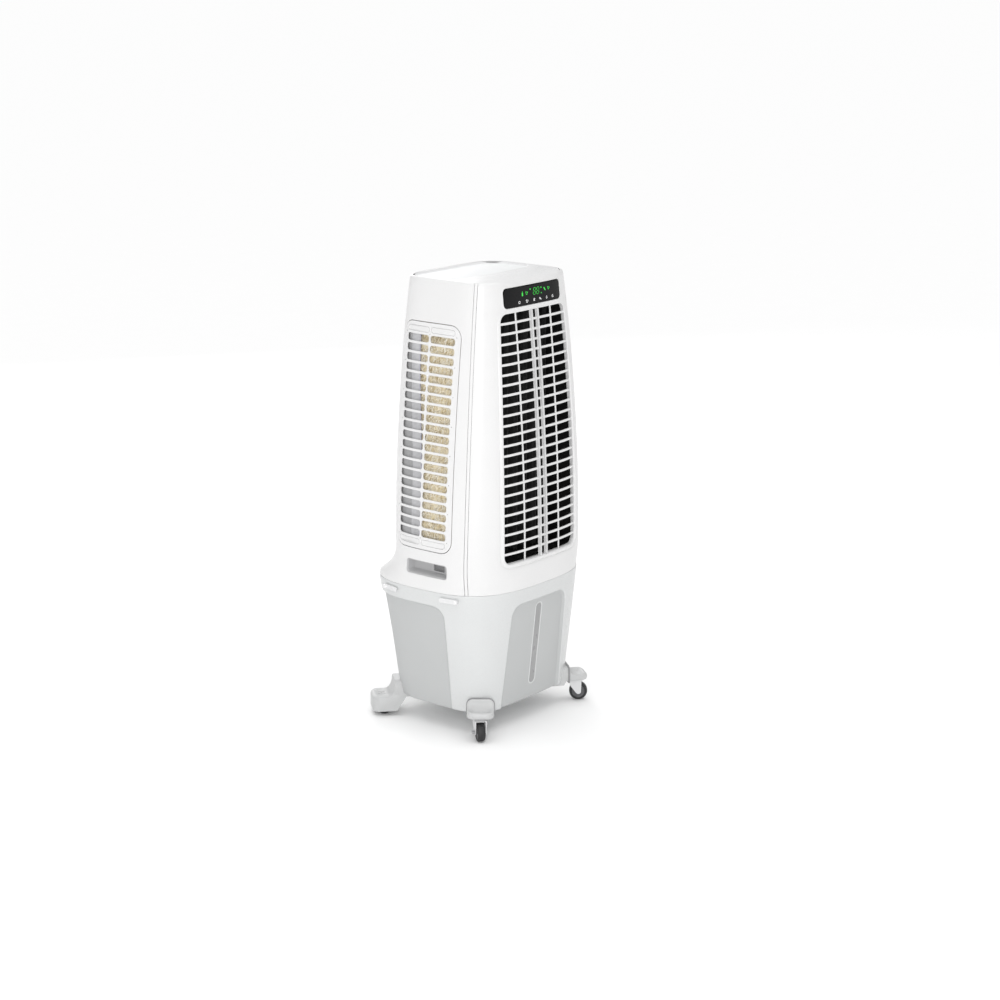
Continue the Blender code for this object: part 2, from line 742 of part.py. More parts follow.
def make_fan_motor(name, height):
    """Fan motor on a cross-bar, with a leg at each end that meets the duct."""
    back = facing((0, 1, 0), (0.0, -0.0395, height))
    profile = [(0.040, 0.0), (0.040, 0.046), (0.034, 0.052)]
    motor = turned("fan_motor_" + name, profile, 24, "motor_metal", back)
    low = height - 0.010
    high = height + 0.010
    join(motor, box("bar", (-0.126, -0.034, low), (0.126, -0.030, high), "motor_metal"))
    for side in (-1, 1):
        ends = sorted((side * 0.118, side * 0.126))
        join(motor, box("leg", (ends[0], DUCT_BACK_Y + GAP, low), (ends[1], -0.030, high), "motor_metal"))


def vane_x(index):
    """Return the x of a vane's axis."""
    return VANE_SPACING * (index - (VANE_COUNT - 1) / 2.0)


def make_vane(index):
    """Upright swing vane: end pins on its axis, and a notch with a pin for the link bar."""
    x = vane_x(index)
    axis = Vector((x, VANE_AXIS_Y, LINK_Z))
    outline = [(x - 0.0006, -0.136), (x + 0.0006, -0.136), (x + 0.0011, VANE_AXIS_Y), (x + 0.0006, -0.100),
               (x - 0.0006, -0.100), (x - 0.0011, VANE_AXIS_Y)]
    name = "swing_vane_%d" % (index + 1)
    vane = prism(name, outline, VANE_LOW_Z, VANE_HIGH_Z, "black_plastic", origin=axis)
    low = (x - 0.01, VANE_PIN_Y - 0.006, LINK_Z - 0.004)
    high = (x + 0.01, -0.09, LINK_Z + 0.004)
    cut(vane, box("notch", low, high, "black_plastic"))
    end_pins = (VANE_LOW_Z - 0.005, VANE_HIGH_Z + 0.005, VANE_AXIS_Y)
    link_pin = (LINK_Z - 0.006, LINK_Z + 0.006, VANE_PIN_Y)
    for start, end, y in (end_pins, link_pin):
        frame = Matrix.Translation(Vector((x, y, 0.0)))
        join(vane, turned("pin", [(0.0015, start), (0.0015, end)], 8, "black_plastic", frame, axis))


def make_vanes():
    """Swing vanes, the link bar that ties them and the swing motor."""
    for index in range(VANE_COUNT):
        make_vane(index)
    reach = vane_x(VANE_COUNT - 1) + 0.006
    low = (-reach, VANE_PIN_Y - 0.0045, LINK_Z - 0.0015)
    high = (reach, VANE_PIN_Y + 0.0065, LINK_Z + 0.0015)
    link = box("vane_link", low, high, "black_plastic")
    for index in range(VANE_COUNT):
        low = (vane_x(index) - 0.0021, VANE_PIN_Y - 0.0051, LINK_Z - 0.01)
        high = (vane_x(index) + 0.0021, VANE_PIN_Y + 0.0022, LINK_Z + 0.01)
        cut(link, box("slot", low, high, "black_plastic"))
    frame = Matrix.Translation(Vector((vane_x(2), VANE_AXIS_Y, 0.0)))
    turned("swing_motor", [(0.020, 0.444), (0.020, 0.464 - GAP)], 20, "motor_metal", frame)


# ---------------------------------------------------------------- water side

def tank_angles(z, section):
    """Return the outline angles of the tank's columns on the +X half, front to rear."""
    front = FRONT_RECESS_HALF_WIDTH * (0.95 + 0.12 * (SEAM_Z - z) / SEAM_Z)
    marks = [0.0, angle_at_x(section, 0.030), angle_at_x(section, front - RECESS_CORNER),
             angle_at_x(section, front), angle_at_x(section, front + RECESS_STEP)]
    start = marks[-1]
    end = angle_at_y(section, SIDE_RECESS_FRONT_Y - RECESS_STEP)
    marks += [start + (end - start) * share for share in (0.2, 0.4, 0.6, 0.8)]
    marks += [end, angle_at_y(section, SIDE_RECESS_FRONT_Y),
              angle_at_y(section, SIDE_RECESS_FRONT_Y + RECESS_CORNER), angle_at_y(section, 0.03)]
    start = marks[-1]
    end = angle_at_x(section, 0.09, rear=True)
    marks += [start + (end - start) * share for share in (0.2, 0.35, 0.5, 0.65, 0.8)]
    marks += [end, 180.0]
    return marks


def tank_grid(rows, inset):
    """Return the tank's wall points: rings from low to high, with the pressed-in panels."""
    rings = []
    for z in rows:
        whole = tank_angles(z, shrink(tank_section(z), inset))
        count = 2 * len(whole) - 2
        ring = []
        for index in range(count):
            place = min(index, count - index)
            pressed = (place <= 3 or place >= 10) and z <= RECESS_TOP_Z
            section = shrink(tank_section(z), inset + (RECESS_DEPTH if pressed else 0.0))
            angle = tank_angles(z, section)[place]
            x, y = on_outline(section, angle if index == place else 360.0 - angle)
            ring.append(Vector((x, y, z)))
        rings.append(ring)
    count = len(rings[0])
    top = rows.index(RECESS_TOP_Z)
    for side in (1, -1):
        for edge, toward in ((3, -1), (4, -1), (10, 1), (9, 1)):
            row = top if edge in (3, 10) else top + 1
            place = (side * edge) % count
            inner = (side * (edge + toward * (1 if edge in (3, 10) else 2))) % count
            below = rings[row - 1 if edge in (3, 10) else row - 2][place]
            here = rings[row][place]
            rings[row][place] = here + 0.293 * ((rings[row][inner] - here) + (below - here))
    return rings


def make_tank():
    """Open-topped water tank with pressed-in panels and a window slot."""
    rows = [TANK_BOTTOM_Z, 0.09, 0.20, RECESS_TOP_Z - RECESS_CORNER, RECESS_TOP_Z,
            RECESS_TOP_Z + RECESS_STEP, SEAM_Z]
    outer = tank_grid(rows, 0.0)
    inner = tank_grid(rows, WALL)
    for point in inner[0]:
        point.z = TANK_BOTTOM_Z + TANK_FLOOR
    tank = loft("water_tank", outer + inner[::-1], "tank_grey")
    wide = WINDOW_HALF_WIDTH + GAP
    outline = rounded_rectangle((-wide, WINDOW_LOW_Z - GAP), (wide, WINDOW_HIGH_Z + GAP), wide * 0.98)
    rings = [[Vector((u, y, v)) for u, v in outline] for y in (-0.24, -0.14)]
    cut(tank, loft("window_cutter", rings, "tank_grey"))
    cut(tank, turned("drain_cutter", [(0.0125, -0.02), (0.0125, 0.02)], 20, "tank_grey", drain_frame()))


def drain_frame():
    """Return a frame on the rear wall of the tank, its Z axis square to the wall."""
    back = tank_section(DRAIN_Z)[2] - RECESS_DEPTH
    slope = (tank_section(DRAIN_Z + 0.1)[2] - tank_section(DRAIN_Z)[2]) / 0.1
    return facing(Vector((0.0, 1.0, -slope)).normalized(), (0.0, back, DRAIN_Z))


def window_y(z, setback):
    """Return the y of the pressed-in front panel of the tank, moved back."""
    return tank_section(z)[1] + RECESS_DEPTH + setback


def make_water_parts():
    """Level window and float, drain plug, pump, riser and distributor tray."""
    wide = WINDOW_HALF_WIDTH
    outline = rounded_rectangle((-wide, WINDOW_LOW_Z), (wide, WINDOW_HIGH_Z), wide * 0.98)
    rings = []
    for setback in (-0.0015, 0.0042):
        rings.append([Vector((u, window_y(v, setback), v)) for u, v in outline])
    loft("level_window", rings, "window_clear")
    centre = Vector((0.0, window_y(0.318, 0.016), 0.318))
    frame = facing((0.0, -0.109, 1.0), centre)
    profile = [(0.004, -0.010), (0.008, -0.006), (0.008, 0.006), (0.004, 0.010)]
    turned("level_float", profile, 16, "float_red", frame, centre)

    frame = drain_frame()
    profile = [(0.0118, -0.012), (0.0118, 0.0009), (0.019, 0.0009), (0.019, 0.010), (0.016, 0.013)]
    turned("drain_plug", profile, 20, "grip_grey", frame, frame.translation)

    pump = box("water_pump", (0.070, 0.030, 0.0665), (0.130, 0.090, 0.126), "black_plastic")
    frame = Matrix.Translation(Vector((0.100, 0.060, 0.0)))
    join(pump, turned("outlet", [(0.009, 0.120), (0.009, 0.138)], 16, "black_plastic", frame))
    turned("riser_pipe", [(0.006, 0.138 + GAP), (0.006, 1.130 - GAP)], 12, "grip_grey", frame)

    low = (-0.135, -0.030)
    high = (0.135, 0.086)
    rings = []
    for trim, z in ((0.0, 1.130), (0.0, 1.158), (0.0025, 1.158), (0.0025, 1.1325)):
        near = (low[0] + trim, low[1] + trim)
        far = (high[0] - trim, high[1] - trim)
        outline = rounded_rectangle(near, far, 0.006 - trim)
        rings.append([Vector((u, v, z)) for u, v in outline])
    loft("distributor_tray", rings, "grip_grey")


def make_base_deck():
    """Deck across the foot of the tower, with one large opening to the tank."""
    rings = []
    for z, trim in ((0.3965, 0.010), (0.4000, 0.010)):
        section = tower_section(0.396)
        rings.append([])
        for index in range(30):
            x, y = on_outline(shrink(section, trim), index * 12.0)
            rings[-1].append(Vector((x, y, z)))
    for z in (0.4000, 0.3965):
        rings.append([Vector((0.60 * point.x, 0.62 * (point.y - 0.01) + 0.01, z)) for point in rings[0]])
    loft("base_deck", rings, "white_plastic", endless=True)


def make_power_inlet():
    """Cable gland low on the rear of the tower."""
    z = 0.486
    frame = facing((0, 1, 0), (0.150, 0.0, z))
    section = tower_section(z - 0.012)
    start = on_outline(section, angle_at_x(section, 0.138, rear=True))[1] + 0.0006
    profile = [(0.011, start), (0.011, start + 0.005), (0.0075, start + 0.006), (0.006, start + 0.020)]
    turned("power_inlet", profile, 18, "grip_grey", frame)


# ---------------------------------------------------------------- latches and casters

def latch_frame(side, y, z):
    """Return a frame on the tank rim: X along the rim to the rear, Z outwards."""
    section = tank_section(z + 0.008)
    angle = angle_at_y(section, y)
    x, place = on_outline(section, angle)
    ahead = on_outline(section, angle + 0.5)
    along = Vector((ahead[0] - x, ahead[1] - place, 0.0)).normalized()
    outward = Vector((along.y, -along.x, 0.0))
    if side < 0:
        x, along.x, outward.x = -x, -along.x, -outward.x
    frame = Matrix.Identity(4)
    for column, axis in enumerate((along, Vector((0, 0, 1)), outward)):
        frame.col[column][:3] = axis
    frame.col[3][:3] = Vector((x, place, z)) + outward * 0.0006
    return frame


def make_latches():
    """Four turn latches on the tank rim; each pivots at its round end."""
    for name, side in (("left", -1), ("right", 1)):
        for end, y, knob in (("front", -0.090, -1), ("rear", 0.108, 1)):
            frame = latch_frame(side, y, 0.375)
            pivot = knob * 0.021
            origin = frame @ Vector((pivot, 0.0, 0.0))
            outline = rounded_rectangle((-0.0275, -0.0065), (0.0275, 0.0065), 0.0055)
            if knob > 0:
                outline = [(u + 0.001, v) for u, v in outline]
            whole_name = "rim_latch_%s_%s" % (end, name)
            latch = prism(whole_name, outline, 0.0, 0.0065, "white_plastic", frame, origin)
            knob_frame = frame @ Matrix.Translation(Vector((pivot, 0.0, 0.0)))
            profile = [(0.0060, 0.003), (0.0060, 0.0085), (0.0045, 0.0100)]
            join(latch, turned("knob", profile, 16, "white_plastic", knob_frame))


def bracket_frame(side_x, side_y):
    """Return a frame with X pointing out over a corner of the tank."""
    lean = FRONT_DIRECTION if side_y < 0 else REAR_DIRECTION
    out = Vector((side_x * lean.x, side_y * lean.y, 0.0))
    frame = Matrix.Identity(4)
    for column, axis in enumerate((out, Vector((0, 0, 1)), out.cross(Vector((0, 0, 1))))):
        frame.col[column][:3] = axis
    return frame


FRONT_BRACKET = [(0.180, 0.0535), (0.224, 0.0535), (0.230, 0.0640), (0.289, 0.0640), (0.2935, 0.0680),
                 (0.2935, 0.0775), (0.288, 0.0825), (0.266, 0.0820), (0.2535, 0.0850), (0.2475, 0.0950),
                 (0.2440, 0.1040), (0.215, 0.1040), (0.180, 0.0600)]
REAR_BRACKET = [(0.180, 0.0535), (0.212, 0.0535), (0.238, 0.0130), (0.299, 0.0130), (0.3035, 0.0180),
                (0.3035, 0.0440), (0.299, 0.0510), (0.288, 0.0560), (0.266, 0.0585), (0.2520, 0.0680),
                (0.2440, 0.0860), (0.2400, 0.0980), (0.210, 0.0980), (0.180, 0.0600)]


def make_brackets():
    """Corner brackets that hug the tank's lower corners and carry the casters."""
    rows = [0.0617, 0.13]
    for end, outline, side_y in (("front", FRONT_BRACKET, -1), ("rear", REAR_BRACKET, 1)):
        for name, side_x in (("left", -1), ("right", 1)):
            frame = bracket_frame(side_x, side_y)
            rings = []
            wide = BRACKET_HALF_WIDTH
            for across, trim in ((-wide, 0.006), (-wide + 0.003, 0.0018), (-wide + 0.008, 0.0),
                                 (wide - 0.008, 0.0), (wide - 0.003, 0.0018), (wide, 0.006)):
                ring = []
                for u, v in outline:
                    middle_v = 0.075 if side_y < 0 else 0.045
                    pull = Vector((0.25 - u, middle_v - v)).normalized() * trim
                    ring.append(frame @ Vector((u + pull.x, v + pull.y, across)))
                rings.append(ring)
            bracket = loft("bracket_%s_%s" % (end, name), rings, "tank_grey")
            rings = []
            for z in rows:
                section = tank_section(z)
                ring = []
                for index in range(72):
                    x, y = on_outline(shrink(section, -GAP), index * 5.0)
                    ring.append(Vector((x, y, z)))
                rings.append(ring)
            cut(bracket, loft("tank_cutter", rings, "tank_grey"))
            if side_y > 0:
                x = side_x * REAR_WHEEL.x
                low = (x - 0.0125, REAR_WHEEL.y - 0.0275, 0.0)
                high = (x + 0.0125, REAR_WHEEL.y + 0.0275, 0.0525)
                cut(bracket, box("wheel_cutter", low, high, "tank_grey"))


def make_wheel(name, centre, axis):
    """Make a caster wheel with a rounded tread and short hub ends."""
    half = WHEEL_WIDTH / 2.0
    profile = [(0.006, -half - 0.0012), (0.010, -half), (0.0225, -half), (WHEEL_RADIUS, -half + 0.004),
               (WHEEL_RADIUS, half - 0.004), (0.0225, half), (0.010, half), (0.006, half + 0.0012)]
    turned(name, profile, 20, "tyre_black", facing(axis, centre), centre)


def make_casters():
    """Swivel casters in front, fixed wheels behind."""
    for name, side in (("left", -1), ("right", 1)):
        pivot = Vector((side * SWIVEL_PIVOT.x, SWIVEL_PIVOT.y, 0.0))
        turn = math.radians(SWIVEL_HEADING[name])
        heading = Vector((math.cos(turn), math.sin(turn), 0.0))
        axis = Vector((-heading.y, heading.x, 0.0))
        frame = Matrix.Identity(4)
        for column, direction in enumerate((heading, Vector((0, 0, 1)), heading.cross(Vector((0, 0, 1))))):
            frame.col[column][:3] = direction
        frame.col[3][:3] = pivot
        origin = pivot + Vector((0.0, 0.0, 0.056))
        upright = Matrix.Translation(pivot)
        profile = [(0.0155, 0.0560), (0.0155, 0.0640 - GAP)]
        fork = turned("fork_" + name, profile, 20, "white_plastic", upright, origin)
        plate = [(-0.015, 0.0535), (0.020, 0.0535), (0.024, 0.0570), (0.018, 0.0590), (-0.015, 0.0590)]
        join(fork, prism("crown", plate, -0.0155, 0.0155, "white_plastic", frame))
        leg = [(-0.013, 0.0560), (-0.010, 0.0440), (TRAIL - 0.007, 0.0220), (TRAIL - 0.003, 0.0185),
               (TRAIL + 0.003, 0.0185), (TRAIL + 0.007, 0.0220), (0.022, 0.0560)]
        for low, high in ((-0.0155, -0.0128), (0.0128, 0.0155)):
            join(fork, prism("leg", leg, low, high, "white_plastic", frame))
        centre = pivot + heading * TRAIL + Vector((0.0, 0.0, WHEEL_RADIUS))
        make_wheel("front_wheel_" + name, centre, axis)
        lever_frame = frame @ Matrix.Translation(Vector((TRAIL, WHEEL_RADIUS, 0.0)))
        tab = [(0.004, -0.003), (0.010, 0.000), (0.013, 0.006), (0.004, 0.006), (-0.004, 0.004),
               (-0.004, -0.003)]
        spin = 1.0 if name == "left" else -1.0
        ends = sorted((spin * 0.0160, spin * 0.0225))
        prism("brake_lever_" + name, tab, ends[0], ends[1], "grip_grey", lever_frame, centre)
        hub = Vector((side * REAR_WHEEL.x, REAR_WHEEL.y, REAR_WHEEL.z))
        make_wheel("rear_wheel_" + name, hub, (1, 0, 0))


def centre_footprint():
    """Slide the whole cooler along Y so that its footprint is centred on the origin."""
    bpy.context.view_layer.update()
    pieces = bpy.context.scene.objects
    reach = [(piece.matrix_world @ Vector(corner)).y for piece in pieces for corner in piece.bound_box]
    shift = (min(reach) + max(reach)) / 2.0
    for piece in pieces:
        piece.location.y -= shift


def build():
    """Build every piece of the cooler."""
    clear_scene()
    make_front_cover()
    make_rear_housing()
    make_seam_strips()
    make_top_cover()
    make_front_grille()
    make_grille_ribs()
    make_display()
    make_side_intake("left", -1)
    make_side_intake("right", 1)
    make_rear_intake()
    make_grips()
    make_duct()
    for name, height in FAN_HEIGHTS.items():
        make_fan(name, height)
        make_fan_motor(name, height)
    make_vanes()
    make_tank()
    make_water_parts()
    make_base_deck()
    make_power_inlet()
    make_latches()
    make_brackets()
    make_casters()
    centre_footprint()


build()
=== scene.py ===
"""Looks of a mobile evaporative cooler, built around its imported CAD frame.

Metres, +Z up, air outlet facing -Y. Shapes are drawn as if the tower stood on the origin,
and each finished piece is slid along Y by SHIFT, as the frame's own pieces were.
"""

import bisect
import functools
import math
import random

import bmesh
import bpy
from mathutils import Matrix, Vector


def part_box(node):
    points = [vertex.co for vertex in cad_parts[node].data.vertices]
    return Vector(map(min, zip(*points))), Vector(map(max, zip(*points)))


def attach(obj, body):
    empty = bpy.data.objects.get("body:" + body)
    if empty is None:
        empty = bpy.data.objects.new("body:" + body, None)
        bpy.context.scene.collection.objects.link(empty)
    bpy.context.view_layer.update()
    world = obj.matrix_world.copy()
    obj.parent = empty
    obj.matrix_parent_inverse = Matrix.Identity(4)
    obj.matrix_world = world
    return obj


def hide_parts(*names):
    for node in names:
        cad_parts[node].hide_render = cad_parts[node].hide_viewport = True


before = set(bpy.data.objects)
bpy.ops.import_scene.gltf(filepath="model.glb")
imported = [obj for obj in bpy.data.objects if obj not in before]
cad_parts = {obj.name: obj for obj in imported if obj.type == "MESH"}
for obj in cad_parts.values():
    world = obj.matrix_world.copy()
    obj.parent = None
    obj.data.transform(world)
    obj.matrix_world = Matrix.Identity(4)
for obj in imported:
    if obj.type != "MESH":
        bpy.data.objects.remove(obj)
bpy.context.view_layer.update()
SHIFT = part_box("water_tank")[0].y + 0.210

# Overall sizes
HEIGHT = 1.200
SEAM_Z = 0.392
TANK_BOTTOM_Z = 0.062
WALL = 0.003
GAP = 0.0004

# Outlet, grille and display in the front cover
OUTLET_LOW_Z = 0.469
OUTLET_HIGH_Z = 1.118
OUTLET_CORNER = 0.021
OUTLET_RETURN = 0.0105
OUTLET_TOP_SHARE = 0.36
OUTLET_BACK_GROW = 0.0020
BAR_COUNT = 24
BAR_TOP_Z = 1.093
BAR_PITCH = 0.026
BAR_HEIGHT = 0.0062
BAR_EDGE = 0.0012
GRILLE_SETBACK = 0.0022
GRILLE_DEPTH = 0.0040
UPRIGHT_X = 0.0725
UPRIGHT_WIDTH = 0.0048
RIB_X = 0.0125
RIB_WIDTH = 0.0055
RIB_DEPTH = 0.0100
RIB_PROUD = 0.0035
RIB_TRIM = 0.0006
FRONT_SPLIT_Z = 1.1243
DISPLAY_LOW_Z = 1.1305
DISPLAY_HIGH_Z = 1.1820
DISPLAY_HALF_WIDTH = 0.118
DISPLAY_CORNER = 0.012
LENS_GAP = 0.0006
LENS_SIDE_GAP = 0.0008
LENS_PROUD = 0.0006
MARK_SPREAD = 1.11
LIP_Z = 1.188
TRAY_FRONT_Y = -0.058

# Strips between the front cover and the rear housing
STRIP_HALF_WIDTH = 0.0040
STRIP_FLAT = 0.0034
STRIP_SUNK = 0.0003
STRIP_THICKNESS = 0.0022
STRIP_EDGE_DROP = 0.0005

# Intake panels
PANEL_LOW_Z = 0.498
PANEL_HIGH_Z = 1.090
PANEL_CORNER = 0.0355
PANEL_FRONT_Y = -0.098
PANEL_REAR_Y = 0.102
PANEL_GROOVE = 0.0016
PANEL_BORDER = 0.004
SIDE_END_Y = 0.1045
REAR_PANEL_HALF_WIDTH = 0.118
REAR_END_X = 0.1205
SLOT_TOP_Z = 1.0597
SLOT_PITCH = 0.02527
SLOT_BARS = 22
SLOT_BAR_HEIGHT = 0.0064
SLOT_CORNER = 0.0068
BLIND_SLOT_HEIGHT = 0.0158
BLIND_SLOT_DEPTH = 0.0024
BLIND_PLATE_TRIM = 0.0013
BLIND_PLATE_INSET = 0.0009
SIDE_MIDDLE_Y = 0.005
SIDE_SLOTS = ((-0.0785, 0.0026), (0.0074, 0.0855))
REAR_SLOTS = ((-0.098, -0.003), (0.003, 0.098))
SIDE_SCREWS_Y = (-0.0835, 0.0895)
REAR_SCREWS_X = (-0.1035, 0.1035)
SCREW_EVERY = 3
SCREW_PROFILE = ((0.0010, -0.0010), (0.0010, 0.0001), (0.0006, 0.0003))

# Pads and filters
PAD_MARGIN = 0.006
PAD_SIDE_Y = (-0.089, 0.092)
PAD_REAR_X = (-0.106, 0.106)
PAD_INSETS = (0.0150, 0.0385)
PAD_CORNER = 0.028
PAD_ROUGHNESS = 0.0016
PAD_EDGE_DROP = 0.003
SHAVINGS_INSET = 0.0142
SHAVINGS_PER_AREA = 19000
SHAVING_STEP = 0.0042
SHAVING_THICKNESS = 0.0003
FILTER_FRONT_Y = 0.0125
FILTER_FOLD_Y = 0.0455
FILTER_REAR_Y = 0.091
FILTER_MARGIN = 0.010
FILTER_BINDING = 0.0022
FILTER_WIDTH = 0.082
FOLD_WIDTH = 0.050

# Hand grips
GRIP_LOW = (-0.085, 0.430)
GRIP_HIGH = (0.052, 0.468)
GRIP_CORNER = 0.009
GRIP_DEPTH = 0.032
CATCH_LOW = (-0.054, 0.4385)
CATCH_HIGH = (-0.017, 0.4560)
CATCH_CORNER = 0.0015
CATCH_DEPTH = 0.008
CATCH_BACK = 0.0098
CATCH_WALL = 0.0014
LINER_TRIM = 0.0008
LINER_CORNER = 0.0012

# Tank
RECESS_DEPTH = 0.0075
RECESS_TOP_Z = 0.354
RECESS_CORNER = 0.038
RECESS_STEP = 0.0100
FRONT_RECESS_HALF_WIDTH = 0.122
SIDE_RECESS_FRONT_Y = -0.072
WINDOW_LOW_Z = 0.105
WINDOW_HIGH_Z = 0.334
WINDOW_HALF_WIDTH = 0.0122
TANK_WALL = 0.0032
TANK_FLOOR_Z = 0.0662

# Latches on the tank's rim
LATCH_Z = 0.375
LATCH_PLACES = (("front", -0.090, -1), ("rear", 0.108, 1))
LATCH_HALF_LENGTH = 0.0270
LATCH_HALF_HEIGHT = 0.0062
LATCH_CORNER = 0.0048
LATCH_THICKNESS = 0.0052
LATCH_RIB_PITCH = 0.0052
LATCH_RIB_HALF = 0.0048
KNOB_REACH = 0.021
KNOB_PROFILE = ((0.0060, 0.0030), (0.0060, 0.0076), (0.0055, 0.0089), (0.0042, 0.0097), (0.0020, 0.0100))

# Casters
WHEEL_RADIUS = 0.025
FRONT_DIRECTION = Vector((0.785, 0.620, 0.0)).normalized()
REAR_DIRECTION = Vector((0.74, 0.67, 0.0)).normalized()
BRACKET_HALF_WIDTH = 0.036
REAR_FOOT_FLARE = 1.23
REAR_TYRE_SHARE = 0.7
WHEEL_WELL = ((0.0260, -0.0085), (0.0260, 0.0085))
FOOT_WALL = 0.2425
FOOT_INNER = 0.186
FOOT_BASE_Z = 0.0535
FOOT_NOSE = 0.0085
SWIVEL_PIVOT = Vector((0.2065, -0.159, 0.0))
REAR_WHEEL = Vector((0.213, 0.170, WHEEL_RADIUS))
TRAIL = 0.0135
SWIVEL_HEADING = {"left": -129.0, "right": -51.0}

SIDES = (("left", -1), ("right", 1))
SHARP_DEGREES = 38.0

# Corners of a thin bar's section: shares of its width and of its thickness
BOX_CORNERS = ((-0.5, 0.0), (0.5, 0.0), (0.5, 1.0), (-0.5, 1.0))


# ---------------------------------------------------------------- materials

class Shade:
    """A node material under construction."""

    def __init__(self, name):
        self.material = bpy.data.materials.new(name)
        self.material.use_nodes = True
        self.tree = self.material.node_tree
        self.shader = self.tree.nodes["Principled BSDF"]

    def link(self, source, socket):
        self.tree.links.new(source, self.shader.inputs[socket])

    def fix(self, socket, value):
        self.shader.inputs[socket].default_value = value

    def noise(self, scale, detail=2.0, stretch=(1.0, 1.0, 1.0), turn=(0.0, 0.0, 0.0)):
        """Return a noise value over the piece's own coordinates."""
        place = self.tree.nodes.new("ShaderNodeTexCoord")
        mapping = self.tree.nodes.new("ShaderNodeMapping")
        mapping.inputs["Scale"].default_value = stretch
        mapping.inputs["Rotation"].default_value = turn
        texture = self.tree.nodes.new("ShaderNodeTexNoise")
        texture.inputs["Scale"].default_value = scale
        texture.inputs["Detail"].default_value = detail
        self.tree.links.new(place.outputs["Object"], mapping.inputs["Vector"])
        self.tree.links.new(mapping.outputs["Vector"], texture.inputs["Vector"])
        return texture.outputs["Fac"]

    def wave(self, scale, direction, distortion=0.0):
        """Return a striped value along one axis."""
        place = self.tree.nodes.new("ShaderNodeTexCoord")
        texture = self.tree.nodes.new("ShaderNodeTexWave")
        texture.bands_direction = direction
        texture.inputs["Scale"].default_value = scale
        texture.inputs["Distortion"].default_value = distortion
        self.tree.links.new(place.outputs["Object"], texture.inputs["Vector"])
        return texture.outputs["Fac"]

    def ramp(self, source, stops):
        """Return colours picked by a value."""
        node = self.tree.nodes.new("ShaderNodeValToRGB")
        places = node.color_ramp.elements
        while len(places) < len(stops):
            places.new(0.5)
        for element, (place, colour) in zip(places, stops):
            element.position = place
            element.color = (*colour, 1.0)
        self.tree.links.new(source, node.inputs["Fac"])
        return node.outputs["Color"]

    def between(self, source, low, high):
        """Return a value scaled from the 0.3 to 0.7 middle of noise onto a range."""
        node = self.tree.nodes.new("ShaderNodeMapRange")
        node.inputs["From Min"].default_value = 0.3
        node.inputs["From Max"].default_value = 0.7
        node.inputs["To Min"].default_value = low
        node.inputs["To Max"].default_value = high
        self.tree.links.new(source, node.inputs["Value"])
        return node.outputs["Result"]

    def math(self, operation, first, second):
        """Combine two values."""
        node = self.tree.nodes.new("ShaderNodeMath")
        node.operation = operation
        for socket, value in zip(node.inputs, (first, second)):
            if isinstance(value, float):
                socket.default_value = value
            else:
                self.tree.links.new(value, socket)
        return node.outputs["Value"]

    def bump(self, source, distance, strength=1.0):
        """Raise the surface by a value."""
        node = self.tree.nodes.new("ShaderNodeBump")
        node.inputs["Distance"].default_value = distance
        node.inputs["Strength"].default_value = strength
        self.tree.links.new(source, node.inputs["Height"])
        self.link(node.outputs["Normal"], "Normal")


def tint(colour, factor):
    """Return a colour made lighter or darker."""
    return tuple(min(1.0, part * factor) for part in colour)


def plastic(name, colour, roughness, grain=900.0, depth=0.00006, mottle=0.02, specular=0.5):
    """Moulded plastic: faint mottling, uneven gloss and a fine moulded grain."""
    shade = Shade(name)
    broad = shade.noise(9.0, 3.0)
    fine = shade.noise(grain, 2.0)
    shade.link(shade.ramp(broad, [(0.3, tint(colour, 1.0 - mottle)), (0.7, tint(colour, 1.0 + mottle))]),
               "Base Color")
    shade.link(shade.between(fine, roughness - 0.04, roughness + 0.05), "Roughness")
    shade.bump(fine, depth)
    shade.fix("Specular IOR Level", specular)
    return shade.material


def metal(name, colour, roughness):
    """Painted or cast metal with fine brushed variation."""
    shade = Shade(name)
    fine = shade.noise(260.0, 3.0, stretch=(1.0, 1.0, 6.0))
    shade.link(shade.ramp(fine, [(0.3, tint(colour, 0.85)), (0.7, tint(colour, 1.1))]), "Base Color")
    shade.link(shade.between(fine, roughness - 0.08, roughness + 0.08), "Roughness")
    shade.fix("Metallic", 1.0)
    shade.bump(fine, 0.00008)
    return shade.material


def wood_fibre(name, light, middle, dark, turn):
    """Shredded wood: long pale fibres with darker gaps between them."""
    shade = Shade(name)
    strands = shade.noise(160.0, 4.0, stretch=(1.0, 1.0, 0.22), turn=turn)
    clumps = shade.noise(45.0, 2.0)
    mixed = shade.math("ADD", shade.math("MULTIPLY", strands, 0.72), shade.math("MULTIPLY", clumps, 0.28))
    shade.link(shade.ramp(mixed, [(0.34, dark), (0.45, middle), (0.60, light)]), "Base Color")
    shade.link(shade.between(strands, 0.80, 0.95), "Roughness")
    shade.bump(strands, 0.0012)
    return shade.material


def woven_mesh(name, light, dark):
    """Fine woven filter mesh: crossed threads with dark holes."""
    shade = Shade(name)
    threads = shade.math("MULTIPLY", shade.wave(95.0, "Y", 0.4), shade.wave(95.0, "Z", 0.4))
    patches = shade.noise(30.0, 3.0, stretch=(1.0, 1.0, 0.25))
    mixed = shade.math("ADD", shade.math("MULTIPLY", threads, 0.55), shade.math("MULTIPLY", patches, 0.5))
    shade.link(shade.ramp(mixed, [(0.15, dark), (0.60, light)]), "Base Color")
    shade.link(shade.between(patches, 0.70, 0.85), "Roughness")
    shade.bump(threads, 0.0003)
    return shade.material


